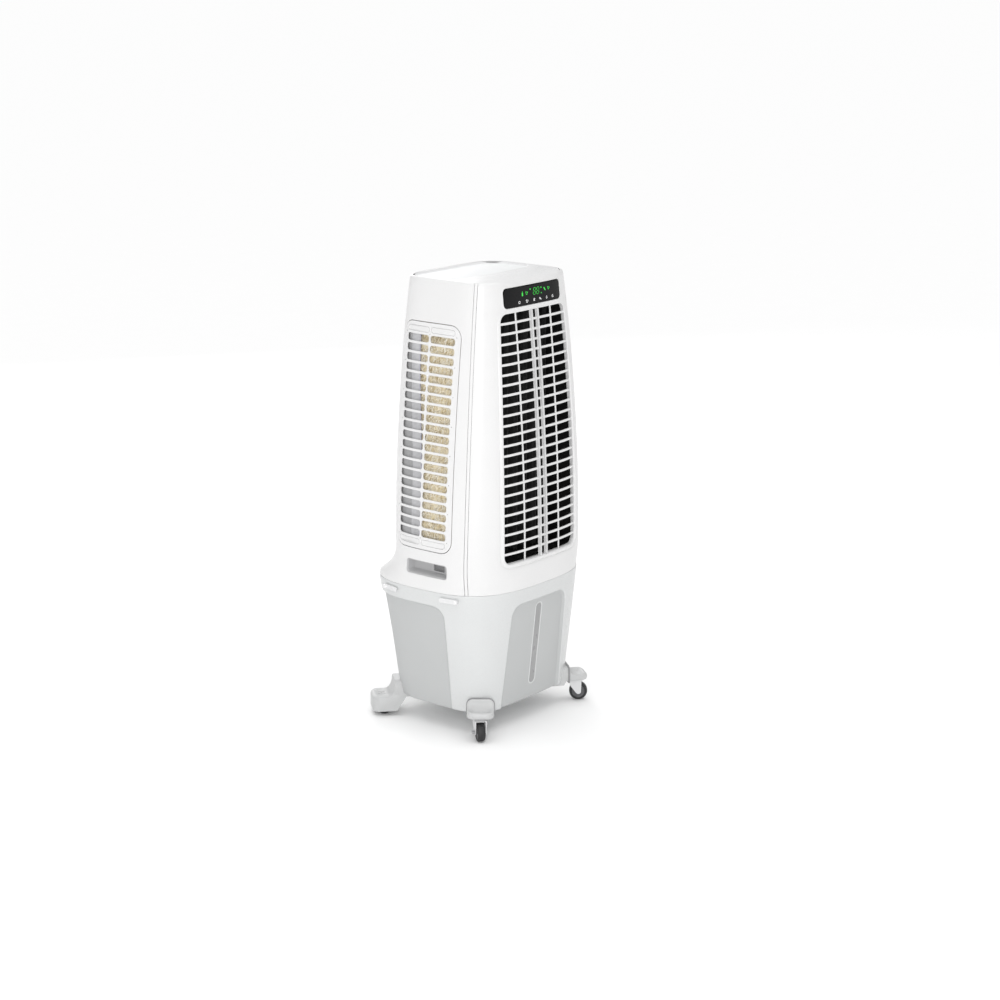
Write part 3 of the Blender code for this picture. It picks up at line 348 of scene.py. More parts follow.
def glowing(name, colour, strength):
    """Lit display segments with slightly uneven brightness."""
    shade = Shade(name)
    uneven = shade.noise(300.0, 1.0)
    picked = shade.ramp(uneven, [(0.3, tint(colour, 0.8)), (0.7, colour)])
    shade.link(picked, "Base Color")
    shade.link(picked, "Emission Color")
    shade.link(shade.between(uneven, 0.35, 0.45), "Roughness")
    shade.fix("Emission Strength", strength)
    return shade.material


def make_materials():
    """Return every material by name."""
    return {
        "white": plastic("white_satin", (0.752, 0.750, 0.750), 0.30, 1100.0, 0.00003, 0.008),
        "band": plastic("white_smooth", (0.79, 0.79, 0.793), 0.28, 1100.0, 0.00002, 0.008),
        "tray": plastic("white_pebbled", (0.80, 0.81, 0.815), 0.46, 420.0, 0.0004, 0.012),
        # The tank's raised posts and pressed-in panels get a lighter and a darker copy of one grey: painted
        # highlight on the posts, painted shade in the panels. The panels' rougher pebbled grain is their
        # own.
        "tank": plastic("tank_grey_gloss_painted_highlight", (0.645, 0.655, 0.655), 0.28, 900.0, 0.00005, 0.010),
        "tank_panel_painted_shade": plastic("tank_grey_pebbled_painted_shade", (0.505, 0.515, 0.515), 0.50, 700.0, 0.00018, 0.012, 0.3),
        "bracket": plastic("bracket_grey", (0.54, 0.545, 0.545), 0.42, 800.0, 0.00010, 0.012),
        # The grille's fins are white plastic given a grey copy of it: painted shade on their sides.
        "fin": plastic("fin_grey_painted_shade", (0.66, 0.66, 0.662), 0.46, 900.0, 0.00004, 0.02, 0.3),
        "grip": plastic("grip_grey", (0.50, 0.50, 0.505), 0.48, 700.0, 0.00012, 0.02),
        "catch": plastic("catch_grey", (0.27, 0.27, 0.275), 0.50, 700.0, 0.00012, 0.03),
        "black": plastic("duct_black", (0.006, 0.006, 0.006), 0.62, 500.0, 0.00012, 0.15, 0.25),
        "vane": plastic("vane_black", (0.022, 0.022, 0.022), 0.45, 500.0, 0.00012, 0.15),
        "screw": plastic("screw_dark", (0.05, 0.05, 0.055), 0.40, 500.0, 0.0001, 0.10),
        "lens": plastic("lens_black", (0.005, 0.005, 0.0055), 0.28, 60.0, 0.000004, 0.05, 0.18),
        "lens_edge": plastic("lens_edge_black", (0.003, 0.003, 0.003), 0.40, 300.0, 0.00002, 0.05, 0.15),
        "window": plastic("window_smoke", (0.33, 0.33, 0.333), 0.30, 60.0, 0.00001, 0.05),
        "bezel": plastic("window_bezel", (0.66, 0.67, 0.67), 0.38, 700.0, 0.00008, 0.01),
        "rubber": plastic("tyre_rubber", (0.018, 0.018, 0.019), 0.50, 600.0, 0.0002, 0.12),
        "hub": plastic("hub_grey", (0.10, 0.10, 0.105), 0.42, 600.0, 0.0001, 0.08),
        "fork": plastic("fork_white", (0.74, 0.74, 0.745), 0.36, 900.0, 0.00005, 0.01),
        "lever": metal("lever_steel", (0.55, 0.56, 0.57), 0.34),
        "motor": metal("motor_grey", (0.45, 0.46, 0.48), 0.40),
        "board": plastic("board_green", (0.02, 0.11, 0.05), 0.40, 300.0, 0.0001, 0.25),
        "float": plastic("float_red", (0.50, 0.07, 0.05), 0.36, 500.0, 0.00005, 0.06),
        "wool": wood_fibre("wood_wool", (0.84, 0.77, 0.60), (0.70, 0.60, 0.40), (0.42, 0.33, 0.18),
                           (0.5, 0.0, 0.0)),
        "shaving": wood_fibre("wood_shaving", (0.90, 0.86, 0.76), (0.84, 0.77, 0.62), (0.62, 0.52, 0.34),
                              (0.9, 0.0, 0.0)),
        "filter": woven_mesh("filter_single", (0.66, 0.66, 0.675), (0.36, 0.36, 0.37)),
        "filter_fold": woven_mesh("filter_double", (0.48, 0.48, 0.485), (0.26, 0.26, 0.265)),
        "filter_edge": plastic("filter_binding", (0.42, 0.42, 0.52), 0.55, 400.0, 0.0001, 0.06),
        "glow": glowing("segments_green", (0.04, 0.60, 0.06), 0.55),
        "icon": glowing("icons_white", (0.75, 0.75, 0.75), 0.55),
    }


MATERIALS = make_materials()


# ---------------------------------------------------------------- mesh building

class Skin:
    """Points and faces of one piece; points in the same place are shared."""

    def __init__(self):
        self.points = []
        self.known = {}
        self.faces = []

    def point(self, place):
        key = (round(place[0], 6), round(place[1], 6), round(place[2], 6))
        if key not in self.known:
            self.known[key] = len(self.points)
            self.points.append(place)
        return self.known[key]

    def face(self, places):
        numbers = []
        for place in places:
            number = self.point(place)
            if number not in numbers:
                numbers.append(number)
        if len(numbers) > 2:
            self.faces.append(numbers)

    def band(self, first, second, closed=False):
        """Join two runs of points with quads."""
        count = len(first)
        for index in range(count if closed else count - 1):
            after = (index + 1) % count
            self.face((first[index], first[after], second[after], second[index]))

    def bands(self, runs, closed=False):
        for first, second in zip(runs, runs[1:]):
            self.band(first, second, closed)

    def tube(self, rings):
        """Skin a run of rings and cap both ends."""
        self.bands(rings, closed=True)
        self.face(rings[0])
        self.face(rings[-1])

    def slab(self, front, back):
        """Close two grids of points into one thick sheet."""
        self.bands(front)
        self.bands(back)
        for run in (0, -1):
            self.band(front[run], back[run])
            self.band([line[run] for line in front], [line[run] for line in back])

    def build(self, name, material, sharp_degrees=SHARP_DEGREES):
        """Make the object, smooth with creases at its sharp edges."""
        mesh = bpy.data.meshes.new(name)
        offset = Vector((0.0, SHIFT, 0.0))
        mesh.from_pydata([Vector(place) + offset for place in self.points], [], self.faces)
        work = bmesh.new()
        work.from_mesh(mesh)
        bmesh.ops.recalc_face_normals(work, faces=work.faces)
        work.to_mesh(mesh)
        work.free()
        mesh.materials.append(MATERIALS[material])
        made = bpy.data.objects.new(name, mesh)
        bpy.context.scene.collection.objects.link(made)
        crease(made, sharp_degrees)
        return made


def crease(item, sharp_degrees=SHARP_DEGREES):
    """Shade smooth, with creases at the sharp edges."""
    for polygon in item.data.polygons:
        polygon.use_smooth = True
    item.data.set_sharp_from_angle(angle=math.radians(sharp_degrees))


def soften(item, width, segments=2, degrees=SHARP_DEGREES):
    """Round the sharp edges."""
    change = item.modifiers.new("rounded_edges", "BEVEL")
    change.width = width
    change.segments = segments
    change.limit_method = "ANGLE"
    change.angle_limit = math.radians(degrees)
    change.harden_normals = True
    return item


def cut(item, cutter):
    """Take the cutter away from an object and drop the cutter."""
    change = item.modifiers.new("cut", "BOOLEAN")
    change.operation = "DIFFERENCE"
    change.solver = "EXACT"
    change.object = cutter
    bpy.context.view_layer.objects.active = item
    bpy.context.view_layer.update()
    bpy.ops.object.modifier_apply(modifier=change.name)
    bpy.data.objects.remove(cutter, do_unlink=True)
    crease(item)


def settle(item, body, slot, *nodes):
    """Fix a finished piece to its body and hide the nodes that it stands for; the slot, its finish, is not
    used.
    """
    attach(item, body)
    if nodes:
        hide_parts(*nodes)
    return item


def circle(radius, count):
    """Return points of a circle in a plane."""
    turns = [2.0 * math.pi * index / count for index in range(count)]
    return [(radius * math.cos(turn), radius * math.sin(turn)) for turn in turns]


def facing(axis, centre):
    """Return a frame at a centre whose own Z axis points along a world axis."""
    turn = Vector((0.0, 0.0, 1.0)).rotation_difference(Vector(axis)).to_matrix().to_4x4()
    return Matrix.Translation(Vector(centre)) @ turn


def turned(skin, profile, count, place):
    """Turn a profile of (radius, height) pairs about a frame's Z axis."""
    rings = []
    for radius, height in profile:
        rings.append([place @ Vector((u, v, height)) for u, v in circle(radius, count)])
    skin.tube(rings)


def prism(skin, outline, low, high, place):
    """Extrude a flat outline between two heights of a frame."""
    skin.tube([[place @ Vector((u, v, height)) for u, v in outline] for height in (low, high)])


def rounded_rectangle(low, high, radius, steps=6):
    """Return a rectangle with round corners, counter-clockwise."""
    corners = [(high[0] - radius, high[1] - radius, 0), (low[0] + radius, high[1] - radius, 90),
               (low[0] + radius, low[1] + radius, 180), (high[0] - radius, low[1] + radius, 270)]
    points = []
    for centre_u, centre_v, start in corners:
        for step in range(steps + 1):
            angle = math.radians(start + 90.0 * step / steps)
            points.append((centre_u + radius * math.cos(angle), centre_v + radius * math.sin(angle)))
    return points


def smooth_step(share):
    """Ease from 0 to 1."""
    share = max(0.0, min(1.0, share))
    return share * share * (3.0 - 2.0 * share)


def mix(first, second, share):
    """Return points part of the way from one run of points to another."""
    return [(a[0] + (b[0] - a[0]) * share, a[1] + (b[1] - a[1]) * share) for a, b in zip(first, second)]


def constant(value):
    """Return a function that always gives one value."""
    return lambda _: value


def even(start, end, count):
    """Return count even steps from start to end, with both ends."""
    return [start + (end - start) * index / count for index in range(count + 1)]


# ---------------------------------------------------------------- outlines

def tower_section(z):
    """Half-width, front y, rear y and squareness of the tower at a height."""
    rise = z - 0.8
    half_width = 0.230 - 0.084 * rise - 0.0636 * rise ** 2
    front = -0.1984 + 0.056 * rise + 0.0683 * rise ** 2
    rear = 0.156 - 0.045 * rise - 0.062 * rise ** 2
    flare = max(0.0, (0.48 - z) / 0.075)
    rear += min(0.065, 0.058 * flare ** 2)
    power = 3.1 + 1.5 * (z - SEAM_Z) / (HEIGHT - SEAM_Z)
    return half_width, front, rear, power


def tank_section(z):
    """Half-width, front y, rear y and squareness of the tank at a height."""
    up = (z - TANK_BOTTOM_Z) / (SEAM_Z - TANK_BOTTOM_Z)
    return 0.2090 + 0.0445 * up, -0.1740 - 0.0360 * up, 0.1660 + 0.0640 * up, 3.9 - 0.7 * up


def seam_y(z):
    """Return the y where the front cover meets the rear housing."""
    return -0.125 - 0.012 * math.sin(math.pi * (HEIGHT - z) / (HEIGHT - SEAM_Z) * 0.7)


def outlet_half_width(z):
    """Return half the width of the air outlet at a height."""
    rise = z - 0.8
    return 0.1455 - 0.0290 * rise - 0.045 * rise ** 2


class Outline:
    """One rounded outline, walked by its length from the front centre."""

    STEPS = 40

    def __init__(self, section):
        self.wide, front, rear, self.power = section
        self.centre = (front + rear) / 2.0
        self.reach = (rear - front) / 2.0
        self.knee = 0.5 ** (1.0 / self.power)
        self.lengths = [0.0]
        before = self.place(0.0)
        for index in range(1, 4 * self.STEPS + 1):
            here = self.place(index / self.STEPS)
            self.lengths.append(self.lengths[-1] + math.hypot(here[0] - before[0], here[1] - before[1]))
            before = here

    def unit(self, station):
        """Share of the half-width and the half-depth at a station from 0, front, to 4, rear."""
        if station > 2.0:
            x, y = self.unit(4.0 - station)
            return x, -y
        if station <= 1.0:
            x = station * self.knee
            return x, (1.0 - x ** self.power) ** (1.0 / self.power)
        y = (2.0 - station) * self.knee
        return (1.0 - y ** self.power) ** (1.0 / self.power), y

    def place(self, station):
        x, y = self.unit(station)
        return self.wide * x, self.centre - self.reach * y

    def length_at(self, station):
        spot = min(max(station, 0.0), 4.0) * self.STEPS
        index = min(int(spot), 4 * self.STEPS - 1)
        return self.lengths[index] + (spot - index) * (self.lengths[index + 1] - self.lengths[index])

    def length_at_x(self, x, rear=False):
        share = min(1.0, abs(x) / self.wide)
        station = share / self.knee if share <= self.knee else \
            2.0 - (1.0 - share ** self.power) ** (1.0 / self.power) / self.knee
        return self.length_at(4.0 - station if rear else station)

    def length_at_y(self, y):
        share = (self.centre - y) / self.reach
        size = min(1.0, abs(share))
        station = 2.0 - size / self.knee if size <= self.knee else \
            (1.0 - size ** self.power) ** (1.0 / self.power) / self.knee
        return self.length_at(station if share >= 0 else 4.0 - station)

    def at(self, length, inset=0.0):
        """Return x and y at a signed length, moved inwards by an inset."""
        size = min(abs(length), self.lengths[-1])
        index = min(bisect.bisect_right(self.lengths, size), 4 * self.STEPS) - 1
        gap = self.lengths[index + 1] - self.lengths[index]
        station = (index + (size - self.lengths[index]) / gap) / self.STEPS
        x, y = self.place(station)
        if inset:
            low = self.place(max(0.0, station - 0.002))
            high = self.place(min(4.0, station + 0.002))
            along = math.hypot(high[0] - low[0], high[1] - low[1])
            x -= inset * (high[1] - low[1]) / along
            y += inset * (high[0] - low[0]) / along
        return (-x if length < 0 else x), y


@functools.lru_cache(maxsize=None)
def tower_outline(z):
    return Outline(tower_section(z))


@functools.lru_cache(maxsize=None)
def tank_outline(z):
    return Outline(tank_section(z))


def on_tower(length, z, inset=0.0):
    """Return a point on the tower at a length round from the front centre."""
    z = round(z, 5)
    x, y = tower_outline(z).at(length, inset)
    return Vector((x, y, z))


def on_side(side, y, z, inset=0.0):
    """Return a point on one side of the tower."""
    z = round(z, 5)
    return on_tower(side * tower_outline(z).length_at_y(y), z, inset)


def on_rear(x, z, inset=0.0):
    """Return a point on the rear of the tower."""
    z = round(z, 5)
    return on_tower(math.copysign(tower_outline(z).length_at_x(x, rear=True), x), z, inset)


def on_front(x, z, setback=0.0):
    """Return a point on the front of the tower, moved straight back."""
    z = round(z, 5)
    outline = tower_outline(z)
    _, y = outline.at(outline.length_at_x(x))
    return Vector((x, y + setback, z))


# ---------------------------------------------------------------- loops round openings

ENDS = 6


def spread(start, low, high, end, middle):
    """Return places from start to end, ENDS steps at each end and the rest between."""
    places = [start + (low - start) * index / ENDS for index in range(ENDS)]
    places += [low + (high - low) * index / middle for index in range(middle)]
    places += [high + (end - high) * index / ENDS for index in range(ENDS + 1)]
    return places


def hole_loop(low_u, high_u, low, high, radius, across, up, grow=0.0, grow_top=None):
    """Walk a rounded opening from the middle of its lower left corner.

    The edges low_u and high_u are functions of height. The loop is grown outwards by grow,
    and by grow_top along its upper edge. Each entry is (u, v, upward share of the normal).
    """
    def corner(edge, height, start, stop):
        for index in range(start, stop):
            yield edge, height, math.radians(225.0 + 45.0 * index / ENDS)

    walk = list(corner(-1, low + radius, 0, ENDS))
    walk += [(-1 + 2 * index / across, low + radius, math.radians(270)) for index in range(across)]
    walk += list(corner(1, low + radius, ENDS, 3 * ENDS))
    walk += [(1, low + radius + (high - low - 2 * radius) * index / up, 0.0) for index in range(up)]
    walk += list(corner(1, high - radius, 3 * ENDS, 5 * ENDS))
    walk += [(1 - 2 * index / across, high - radius, math.radians(90)) for index in range(across)]
    walk += list(corner(-1, high - radius, 5 * ENDS, 7 * ENDS))
    walk += [(-1, high - radius - (high - low - 2 * radius) * index / up, math.radians(180))
             for index in range(up)]
    walk += list(corner(-1, low + radius, 7 * ENDS, 8 * ENDS))
    loop = []
    for edge, height, turn in walk:
        out_u = math.cos(turn)
        out_v = math.sin(turn)
        v = height + radius * out_v
        left = low_u(v) + radius
        right = high_u(v) - radius
        u = left + (right - left) * (edge + 1) / 2.0 + radius * out_u
        reach = grow
        if grow_top is not None:
            reach = grow + (grow_top - grow) * max(0.0, out_v)
        loop.append((u + reach * out_u, v + reach * out_v, out_v))
    return loop


def upright_loop(low, high, radius, across, up, grow=0.0):
    """Walk a rounded opening with straight upright sides between two corners."""
    return hole_loop(constant(low[0]), constant(high[0]), low[1], high[1], radius, across, up, grow)


def border_runs(low_u, high_u, low, high, inner_u, inner_v, across, up):
    """Return the bottom, right, top and left runs of the border round an opening."""
    heights = spread(low, inner_v[0], inner_v[1], high, up)
    bottom = [(u, low) for u in spread(low_u(low), inner_u[0], inner_u[1], high_u(low), across)]
    top = [(u, high) for u in spread(low_u(high), inner_u[0], inner_u[1], high_u(high), across)]
    right = [(high_u(v), v) for v in heights]
    left = [(low_u(v), v) for v in heights]
    return bottom, right, top, left


def border_loop(runs):
    """Join the four runs of a border into a loop that matches hole_loop."""
    bottom, right, top, left = runs
    return bottom[:-1] + right[:-1] + top[::-1][:-1] + left[::-1][:-1]


def placed(loop, place, inset):
    """Put a loop of (u, v) pairs on a surface."""
    return [place(entry[0], entry[1], inset) for entry in loop]


def outward(hole, border, count, place, inset, first=0):
    """Return rings on a surface from the edge of an opening out to its border."""
    return [placed(mix(hole, border, index / count), place, inset) for index in range(first, count + 1)]


def surround(skin, place, hole, runs, steps, depth):
    """Skin the wall round an opening: outside, edge of the opening and inside."""
    border = border_loop(runs)
    outside = outward(hole, border, steps, place, 0.0)
    inside = outward(hole, border, steps, place, depth)
    skin.bands(outside, closed=True)
    skin.bands(inside, closed=True)
    skin.band(outside[0], inside[0], closed=True)


def rim(skin, place, run, depth):
    """Close the wall's thickness along a run of its border."""
    skin.band(placed(run, place, 0.0), placed(run, place, depth))


# ---------------------------------------------------------------- front cover

COVER_ACROSS = 26
OUTLET_UP = 44
DISPLAY_UP = 10
COVER_INNER_U = (-0.128, 0.128)
COVER_LIP = ((0.0, 0.25), (0.0004, 0.05), (0.0010, -0.45), (0.0020, -0.80), (0.0034, -0.97),
             (0.0052, -1.0), (0.0072, -0.98), (0.0088, -0.86), (0.0099, -0.58), (0.0107, -0.20),
             (0.0113, 0.12), (0.0122, 0.26), (0.0136, 0.14), (0.0154, 0.0))
SCREEN_LIP = ((0.0, 0.0008), (0.0004, 0.0), (0.0009, -0.0006), (0.0016, -0.0009), (0.0024, -0.0006),
              (0.0032, 0.0))
LIP_ROWS = ((LIP_Z, 0.0), (1.1935, 0.0003), (1.1970, 0.0016), (1.1990, 0.0036), (1.2000, 0.0062),
            (1.1996, 0.0073), (1.1986, 0.0076), (1.1968, 0.0076), (1.1950, 0.0040), (LIP_Z, WALL))


def cover_edge(z):
    """Length round the tower to the edge of the front cover."""
    return tower_outline(round(z, 5)).length_at_y(seam_y(z) - STRIP_HALF_WIDTH - GAP)


def outlet_edge(z):
    """Length round the tower to the side of the outlet."""
    return tower_outline(round(z, 5)).length_at_x(outlet_half_width(z))


def lip_height(z, upward):
    """Return how far the lip round the outlet stands out."""
    low_share = 1.0 - (z - OUTLET_LOW_Z) / (OUTLET_HIGH_Z - OUTLET_LOW_Z)
    return 0.0040 * (0.30 + 0.70 * smooth_step(low_share)) * (1.0 - 0.75 * max(0.0, upward))


def outlet_loop(grow):
    """Walk the edge of the outlet, grown outwards but less so along its top."""
    return hole_loop(lambda z: -outlet_edge(z), outlet_edge, OUTLET_LOW_Z, OUTLET_HIGH_Z, OUTLET_CORNER,
                     COVER_ACROSS, OUTLET_UP, grow, grow * OUTLET_TOP_SHARE)


def cover_runs(low, high, inner_v, up):
    """Return the border of one cell of the front cover."""
    return border_runs(lambda z: -cover_edge(z), cover_edge, low, high, COVER_INNER_U, inner_v,
                       COVER_ACROSS, up)


def make_outlet_part(skin):
    """Skin the cover below the display, with the lip and the return of the outlet."""
    rings = []
    for grow, raised in COVER_LIP:
        rings.append([on_tower(u, z, raised * lip_height(z, upward)) for u, z, upward in outlet_loop(grow)])
    inner_v = (OUTLET_LOW_Z + OUTLET_CORNER, OUTLET_HIGH_Z - OUTLET_CORNER)
    runs = cover_runs(SEAM_Z + GAP, FRONT_SPLIT_Z, inner_v, OUTLET_UP)
    border = border_loop(runs)
    rings += outward(outlet_loop(COVER_LIP[-1][0]), border, 18, on_tower, 0.0, 1)
    skin.bands(rings, closed=True)
    back = outward(outlet_loop(OUTLET_BACK_GROW), border, 10, on_tower, WALL)
    skin.bands(back, closed=True)
    deep = [point + Vector((0.0, OUTLET_RETURN, 0.0)) for point in rings[0]]
    deep_out = [point + Vector((0.0, OUTLET_RETURN - WALL, 0.0)) for point in back[0]]
    skin.bands([rings[0], deep, deep_out, back[0]], closed=True)
    for run in (runs[0], runs[1], runs[3]):
        rim(skin, on_tower, run, WALL)


def make_display_part(skin):
    """Skin the top of the cover, with the display opening and the rolled upper edge."""
    def opening(grow):
        return upright_loop((-DISPLAY_HALF_WIDTH, DISPLAY_LOW_Z), (DISPLAY_HALF_WIDTH, DISPLAY_HIGH_Z),
                            DISPLAY_CORNER, COVER_ACROSS, DISPLAY_UP, grow)

    rings = [placed(opening(grow), on_tower, inset) for grow, inset in SCREEN_LIP]
    inner_v = (DISPLAY_LOW_Z + DISPLAY_CORNER, DISPLAY_HIGH_Z - DISPLAY_CORNER)
    runs = cover_runs(FRONT_SPLIT_Z, LIP_Z, inner_v, DISPLAY_UP)
    border = border_loop(runs)
    rings += outward(opening(SCREEN_LIP[-1][0]), border, 14, on_tower, 0.0, 1)
    skin.bands(rings, closed=True)
    back = outward(opening(0.0), border, 8, on_tower, WALL)
    skin.bands(back, closed=True)
    skin.band(rings[0], back[0], closed=True)
    rim(skin, on_tower, runs[1], WALL)
    rim(skin, on_tower, runs[3], WALL)
    rows = []
    for z, inset in LIP_ROWS:
        scale = cover_edge(z) / cover_edge(LIP_Z)
        rows.append([on_tower(u * scale, z, inset) for u, _ in runs[2]])
    skin.bands(rows)
    skin.face([row[0] for row in rows])
    skin.face([row[-1] for row in rows])


def make_front_cover():
    """Front cover: one shell round the outlet and the display."""
    skin = Skin()
    make_outlet_part(skin)
    make_display_part(skin)
    settle(skin.build("front_cover_shell", "white"), "tower", "white_plastic", "front_cover")


def make_seam_strips():
    """Narrow strip between two thin grooves, on each side of the front cover."""
    heights = [SEAM_Z + GAP + (LIP_Z - SEAM_Z) * index / 60 for index in range(60)]
    rows = [(z, 0.0) for z in heights] + list(LIP_ROWS[:6])
    for name, side in SIDES:
        grids = []
        for extra in (0.0, STRIP_THICKNESS):
            grid = []
            for along in (-STRIP_HALF_WIDTH, -STRIP_FLAT, 0.0, STRIP_FLAT, STRIP_HALF_WIDTH):
                drop = STRIP_EDGE_DROP if abs(along) > STRIP_FLAT and not extra else 0.0
                line = []
                for z, inset in rows:
                    length = tower_outline(round(z, 5)).length_at_y(seam_y(z)) + along
                    line.append(on_tower(side * length, z, inset + STRIP_SUNK + extra + drop))
                grid.append(line)
            grids.append(grid)
        skin = Skin()
        skin.slab(*grids)
        settle(skin.build("seam_trim_" + name, "white"), "tower", "white_plastic", "seam_strip_" + name)


# ---------------------------------------------------------------- rear housing

SIDE_ACROSS = 20
GRIP_UP = 8
CORNER_STEPS = 14
PANEL_UP = 40
REAR_ACROSS = 24


def housing_edge(z):
    """Return the y of the housing's front edge."""
    return seam_y(z) + STRIP_HALF_WIDTH + GAP


def side_runs(low, high, inner_v, up):
    """Return the border of a side cell of the housing."""
    inner_u = (PANEL_FRONT_Y + PANEL_CORNER, PANEL_REAR_Y - PANEL_CORNER)
    return border_runs(housing_edge, constant(SIDE_END_Y), low, high, inner_u, inner_v, SIDE_ACROSS, up)


def stretch_side(y, old_z, new_z):
    """Move a side column so that it keeps its share of the way round at another height."""
    start = housing_edge(old_z)
    share = (y - start) / (SIDE_END_Y - start)
    return housing_edge(new_z) + share * (SIDE_END_Y - housing_edge(new_z))


def corner_grid(side, rows):
    """Return grid rows round the rear corner; a row is a (height, inset) pair."""
    lines = []
    for z, inset in rows:
        outline = tower_outline(round(z, 5))
        start = outline.length_at_y(SIDE_END_Y)
        end = outline.length_at_x(REAR_END_X, rear=True)
        lines.append([on_tower(side * length, z, inset) for length in even(start, end, CORNER_STEPS)])
    return lines


def make_rear_housing():
    """Sides and rear of the tower in one wrap, with three intakes and two hand grips."""
    skin = Skin()
    bottom = SEAM_Z + GAP
    split = PANEL_LOW_Z - PANEL_BORDER
    top = PANEL_HIGH_Z + PANEL_BORDER
    grip_v = (GRIP_LOW[1] + GRIP_CORNER, GRIP_HIGH[1] - GRIP_CORNER)
    panel_v = (PANEL_LOW_Z + PANEL_CORNER, PANEL_HIGH_Z - PANEL_CORNER)
    low_heights = spread(bottom, grip_v[0], grip_v[1], split, GRIP_UP)
    heights = spread(split, panel_v[0], panel_v[1], top, PANEL_UP)
    upper = even(top, LIP_Z, 8)
    for _, side in SIDES:
        def place(y, z, inset, side=side):
            return on_side(side, y, z, inset)

        hole = upright_loop((PANEL_FRONT_Y, PANEL_LOW_Z), (PANEL_REAR_Y, PANEL_HIGH_Z), PANEL_CORNER,
                            SIDE_ACROSS, PANEL_UP)
        runs = side_runs(split, top, panel_v, PANEL_UP)
        surround(skin, place, hole, runs, 3, WALL)
        rim(skin, place, runs[3], WALL)
        hole = upright_loop(GRIP_LOW, GRIP_HIGH, GRIP_CORNER, SIDE_ACROSS, GRIP_UP)
        low_runs = side_runs(bottom, split, grip_v, GRIP_UP)
        surround(skin, place, hole, low_runs, 5, WALL)
        rim(skin, place, low_runs[3], WALL)
        rim(skin, place, low_runs[0], WALL)
        columns = [y for y, _ in runs[2]]
        rows = [[place(stretch_side(y, top, z), z, 0.0) for y in columns] for z in upper]
        for z, inset in LIP_ROWS[1:]:
            rows.append([place(stretch_side(y, top, z), z, inset) for y in columns])
        rows += [[place(stretch_side(y, top, z), z, WALL) for y in columns] for z in reversed(upper[:-1])]
        skin.bands(rows)
        skin.face([row[0] for row in rows])
        outer = [(z, 0.0) for z in low_heights[:-1] + heights[:-1] + upper]
        inner = [(z, WALL) for z in reversed(low_heights[:-1] + heights[:-1] + upper[:-1])]
        lines = corner_grid(side, outer + list(LIP_ROWS[1:]) + inner)
        skin.bands(lines + lines[:1])
    hole = upright_loop((-REAR_PANEL_HALF_WIDTH, PANEL_LOW_Z), (REAR_PANEL_HALF_WIDTH, PANEL_HIGH_Z),
                        PANEL_CORNER, REAR_ACROSS, PANEL_UP)
    inner_u = (-REAR_PANEL_HALF_WIDTH + PANEL_CORNER, REAR_PANEL_HALF_WIDTH - PANEL_CORNER)
    runs = border_runs(constant(-REAR_END_X), constant(REAR_END_X), split, top, inner_u, panel_v,
                       REAR_ACROSS, PANEL_UP)
    surround(skin, on_rear, hole, runs, 3, WALL)
    columns = [x for x, _ in runs[2]]
    above = [(z, 0.0) for z in upper] + list(LIP_ROWS[1:]) + [(z, WALL) for z in reversed(upper[:-1])]
    skin.bands([[on_rear(x, z, inset) for x in columns] for z, inset in above])
    below = [(z, 0.0) for z in reversed(low_heights)] + [(z, WALL) for z in low_heights]
    skin.bands([[on_rear(x, z, inset) for x in columns] for z, inset in below])
    housing = skin.build("rear_housing_shell", "white")
    soften(housing, 0.0011, 3, 50.0)
    settle(housing, "tower", "white_plastic", "rear_housing")


def trimmed_loop(low, high, radius, trim, grow=0.0):
    """Walk an opening of a hand grip, pulled in by a trim."""
    return upright_loop((low[0] + trim, low[1] + trim), (high[0] - trim, high[1] - trim), radius - trim,
                        SIDE_ACROSS, GRIP_UP, grow)


def make_grips():
    """Grey hand-grip pocket in each side, with a small catch recess at its back."""
    middle = ((GRIP_LOW[0] + GRIP_HIGH[0]) / 2.0, (GRIP_LOW[1] + GRIP_HIGH[1]) / 2.0)
    depth_x = abs(on_side(1, *middle).x) - GRIP_DEPTH
    catch = trimmed_loop(CATCH_LOW, CATCH_HIGH, CATCH_CORNER, 0.0)
    catch_deep = trimmed_loop(CATCH_LOW, CATCH_HIGH, CATCH_CORNER, 0.0, CATCH_WALL)
    floor = upright_loop((CATCH_LOW[0] + LINER_TRIM, CATCH_LOW[1] + LINER_TRIM),
                         (CATCH_HIGH[0] - LINER_TRIM, CATCH_HIGH[1] - LINER_TRIM), LINER_CORNER,
                         SIDE_ACROSS, GRIP_UP)
    small = [(y * 0.9 - 0.0035, z * 0.9 + 0.0447) for y, z, _ in floor]
    for name, side in SIDES:
        def surface(y, z, inset, side=side):
            return on_side(side, y, z, inset)

        def back(y, z, inset, side=side):
            return Vector((side * (depth_x - inset), y, z))

        rings = []
        for trim, place, inset in ((GAP, back, 0.002), (GAP, surface, 0.0008), (0.0012, surface, 0.0003),
                                   (0.0022, surface, 0.0014), (0.0034, surface, 0.006),
                                   (0.0046, back, -0.003), (0.0060, back, -0.0006), (0.0076, back, 0.0)):
            rings.append(placed(trimmed_loop(GRIP_LOW, GRIP_HIGH, GRIP_CORNER, trim), place, inset))
        rings.append(placed(catch, back, 0.0))
        skin = Skin()
        skin.bands(rings, closed=True)
        outer_floor = placed(catch_deep, back, CATCH_BACK)
        inner_floor = placed(catch, back, CATCH_DEPTH)
        skin.bands([outer_floor, placed(catch_deep, back, 0.002), rings[0]], closed=True)
        skin.band(rings[-1], inner_floor, closed=True)
        skin.face(inner_floor)
        skin.face(outer_floor)
        settle(skin.build("grip_cup_" + name, "grip"), "tower", "grip_grey", "grip_pocket_" + name)
        liner = Skin()
        liner.tube([placed(floor, back, 0.0079), placed(floor, back, 0.0064), placed(small, back, 0.0058)])
        settle(liner.build("grip_catch_" + name, "catch"), "tower", "grip_grey")


# ---------------------------------------------------------------- intake panels

SLOT_ACROSS = 8
SLOT_UP = 2
SLOT_INNER = 0.010


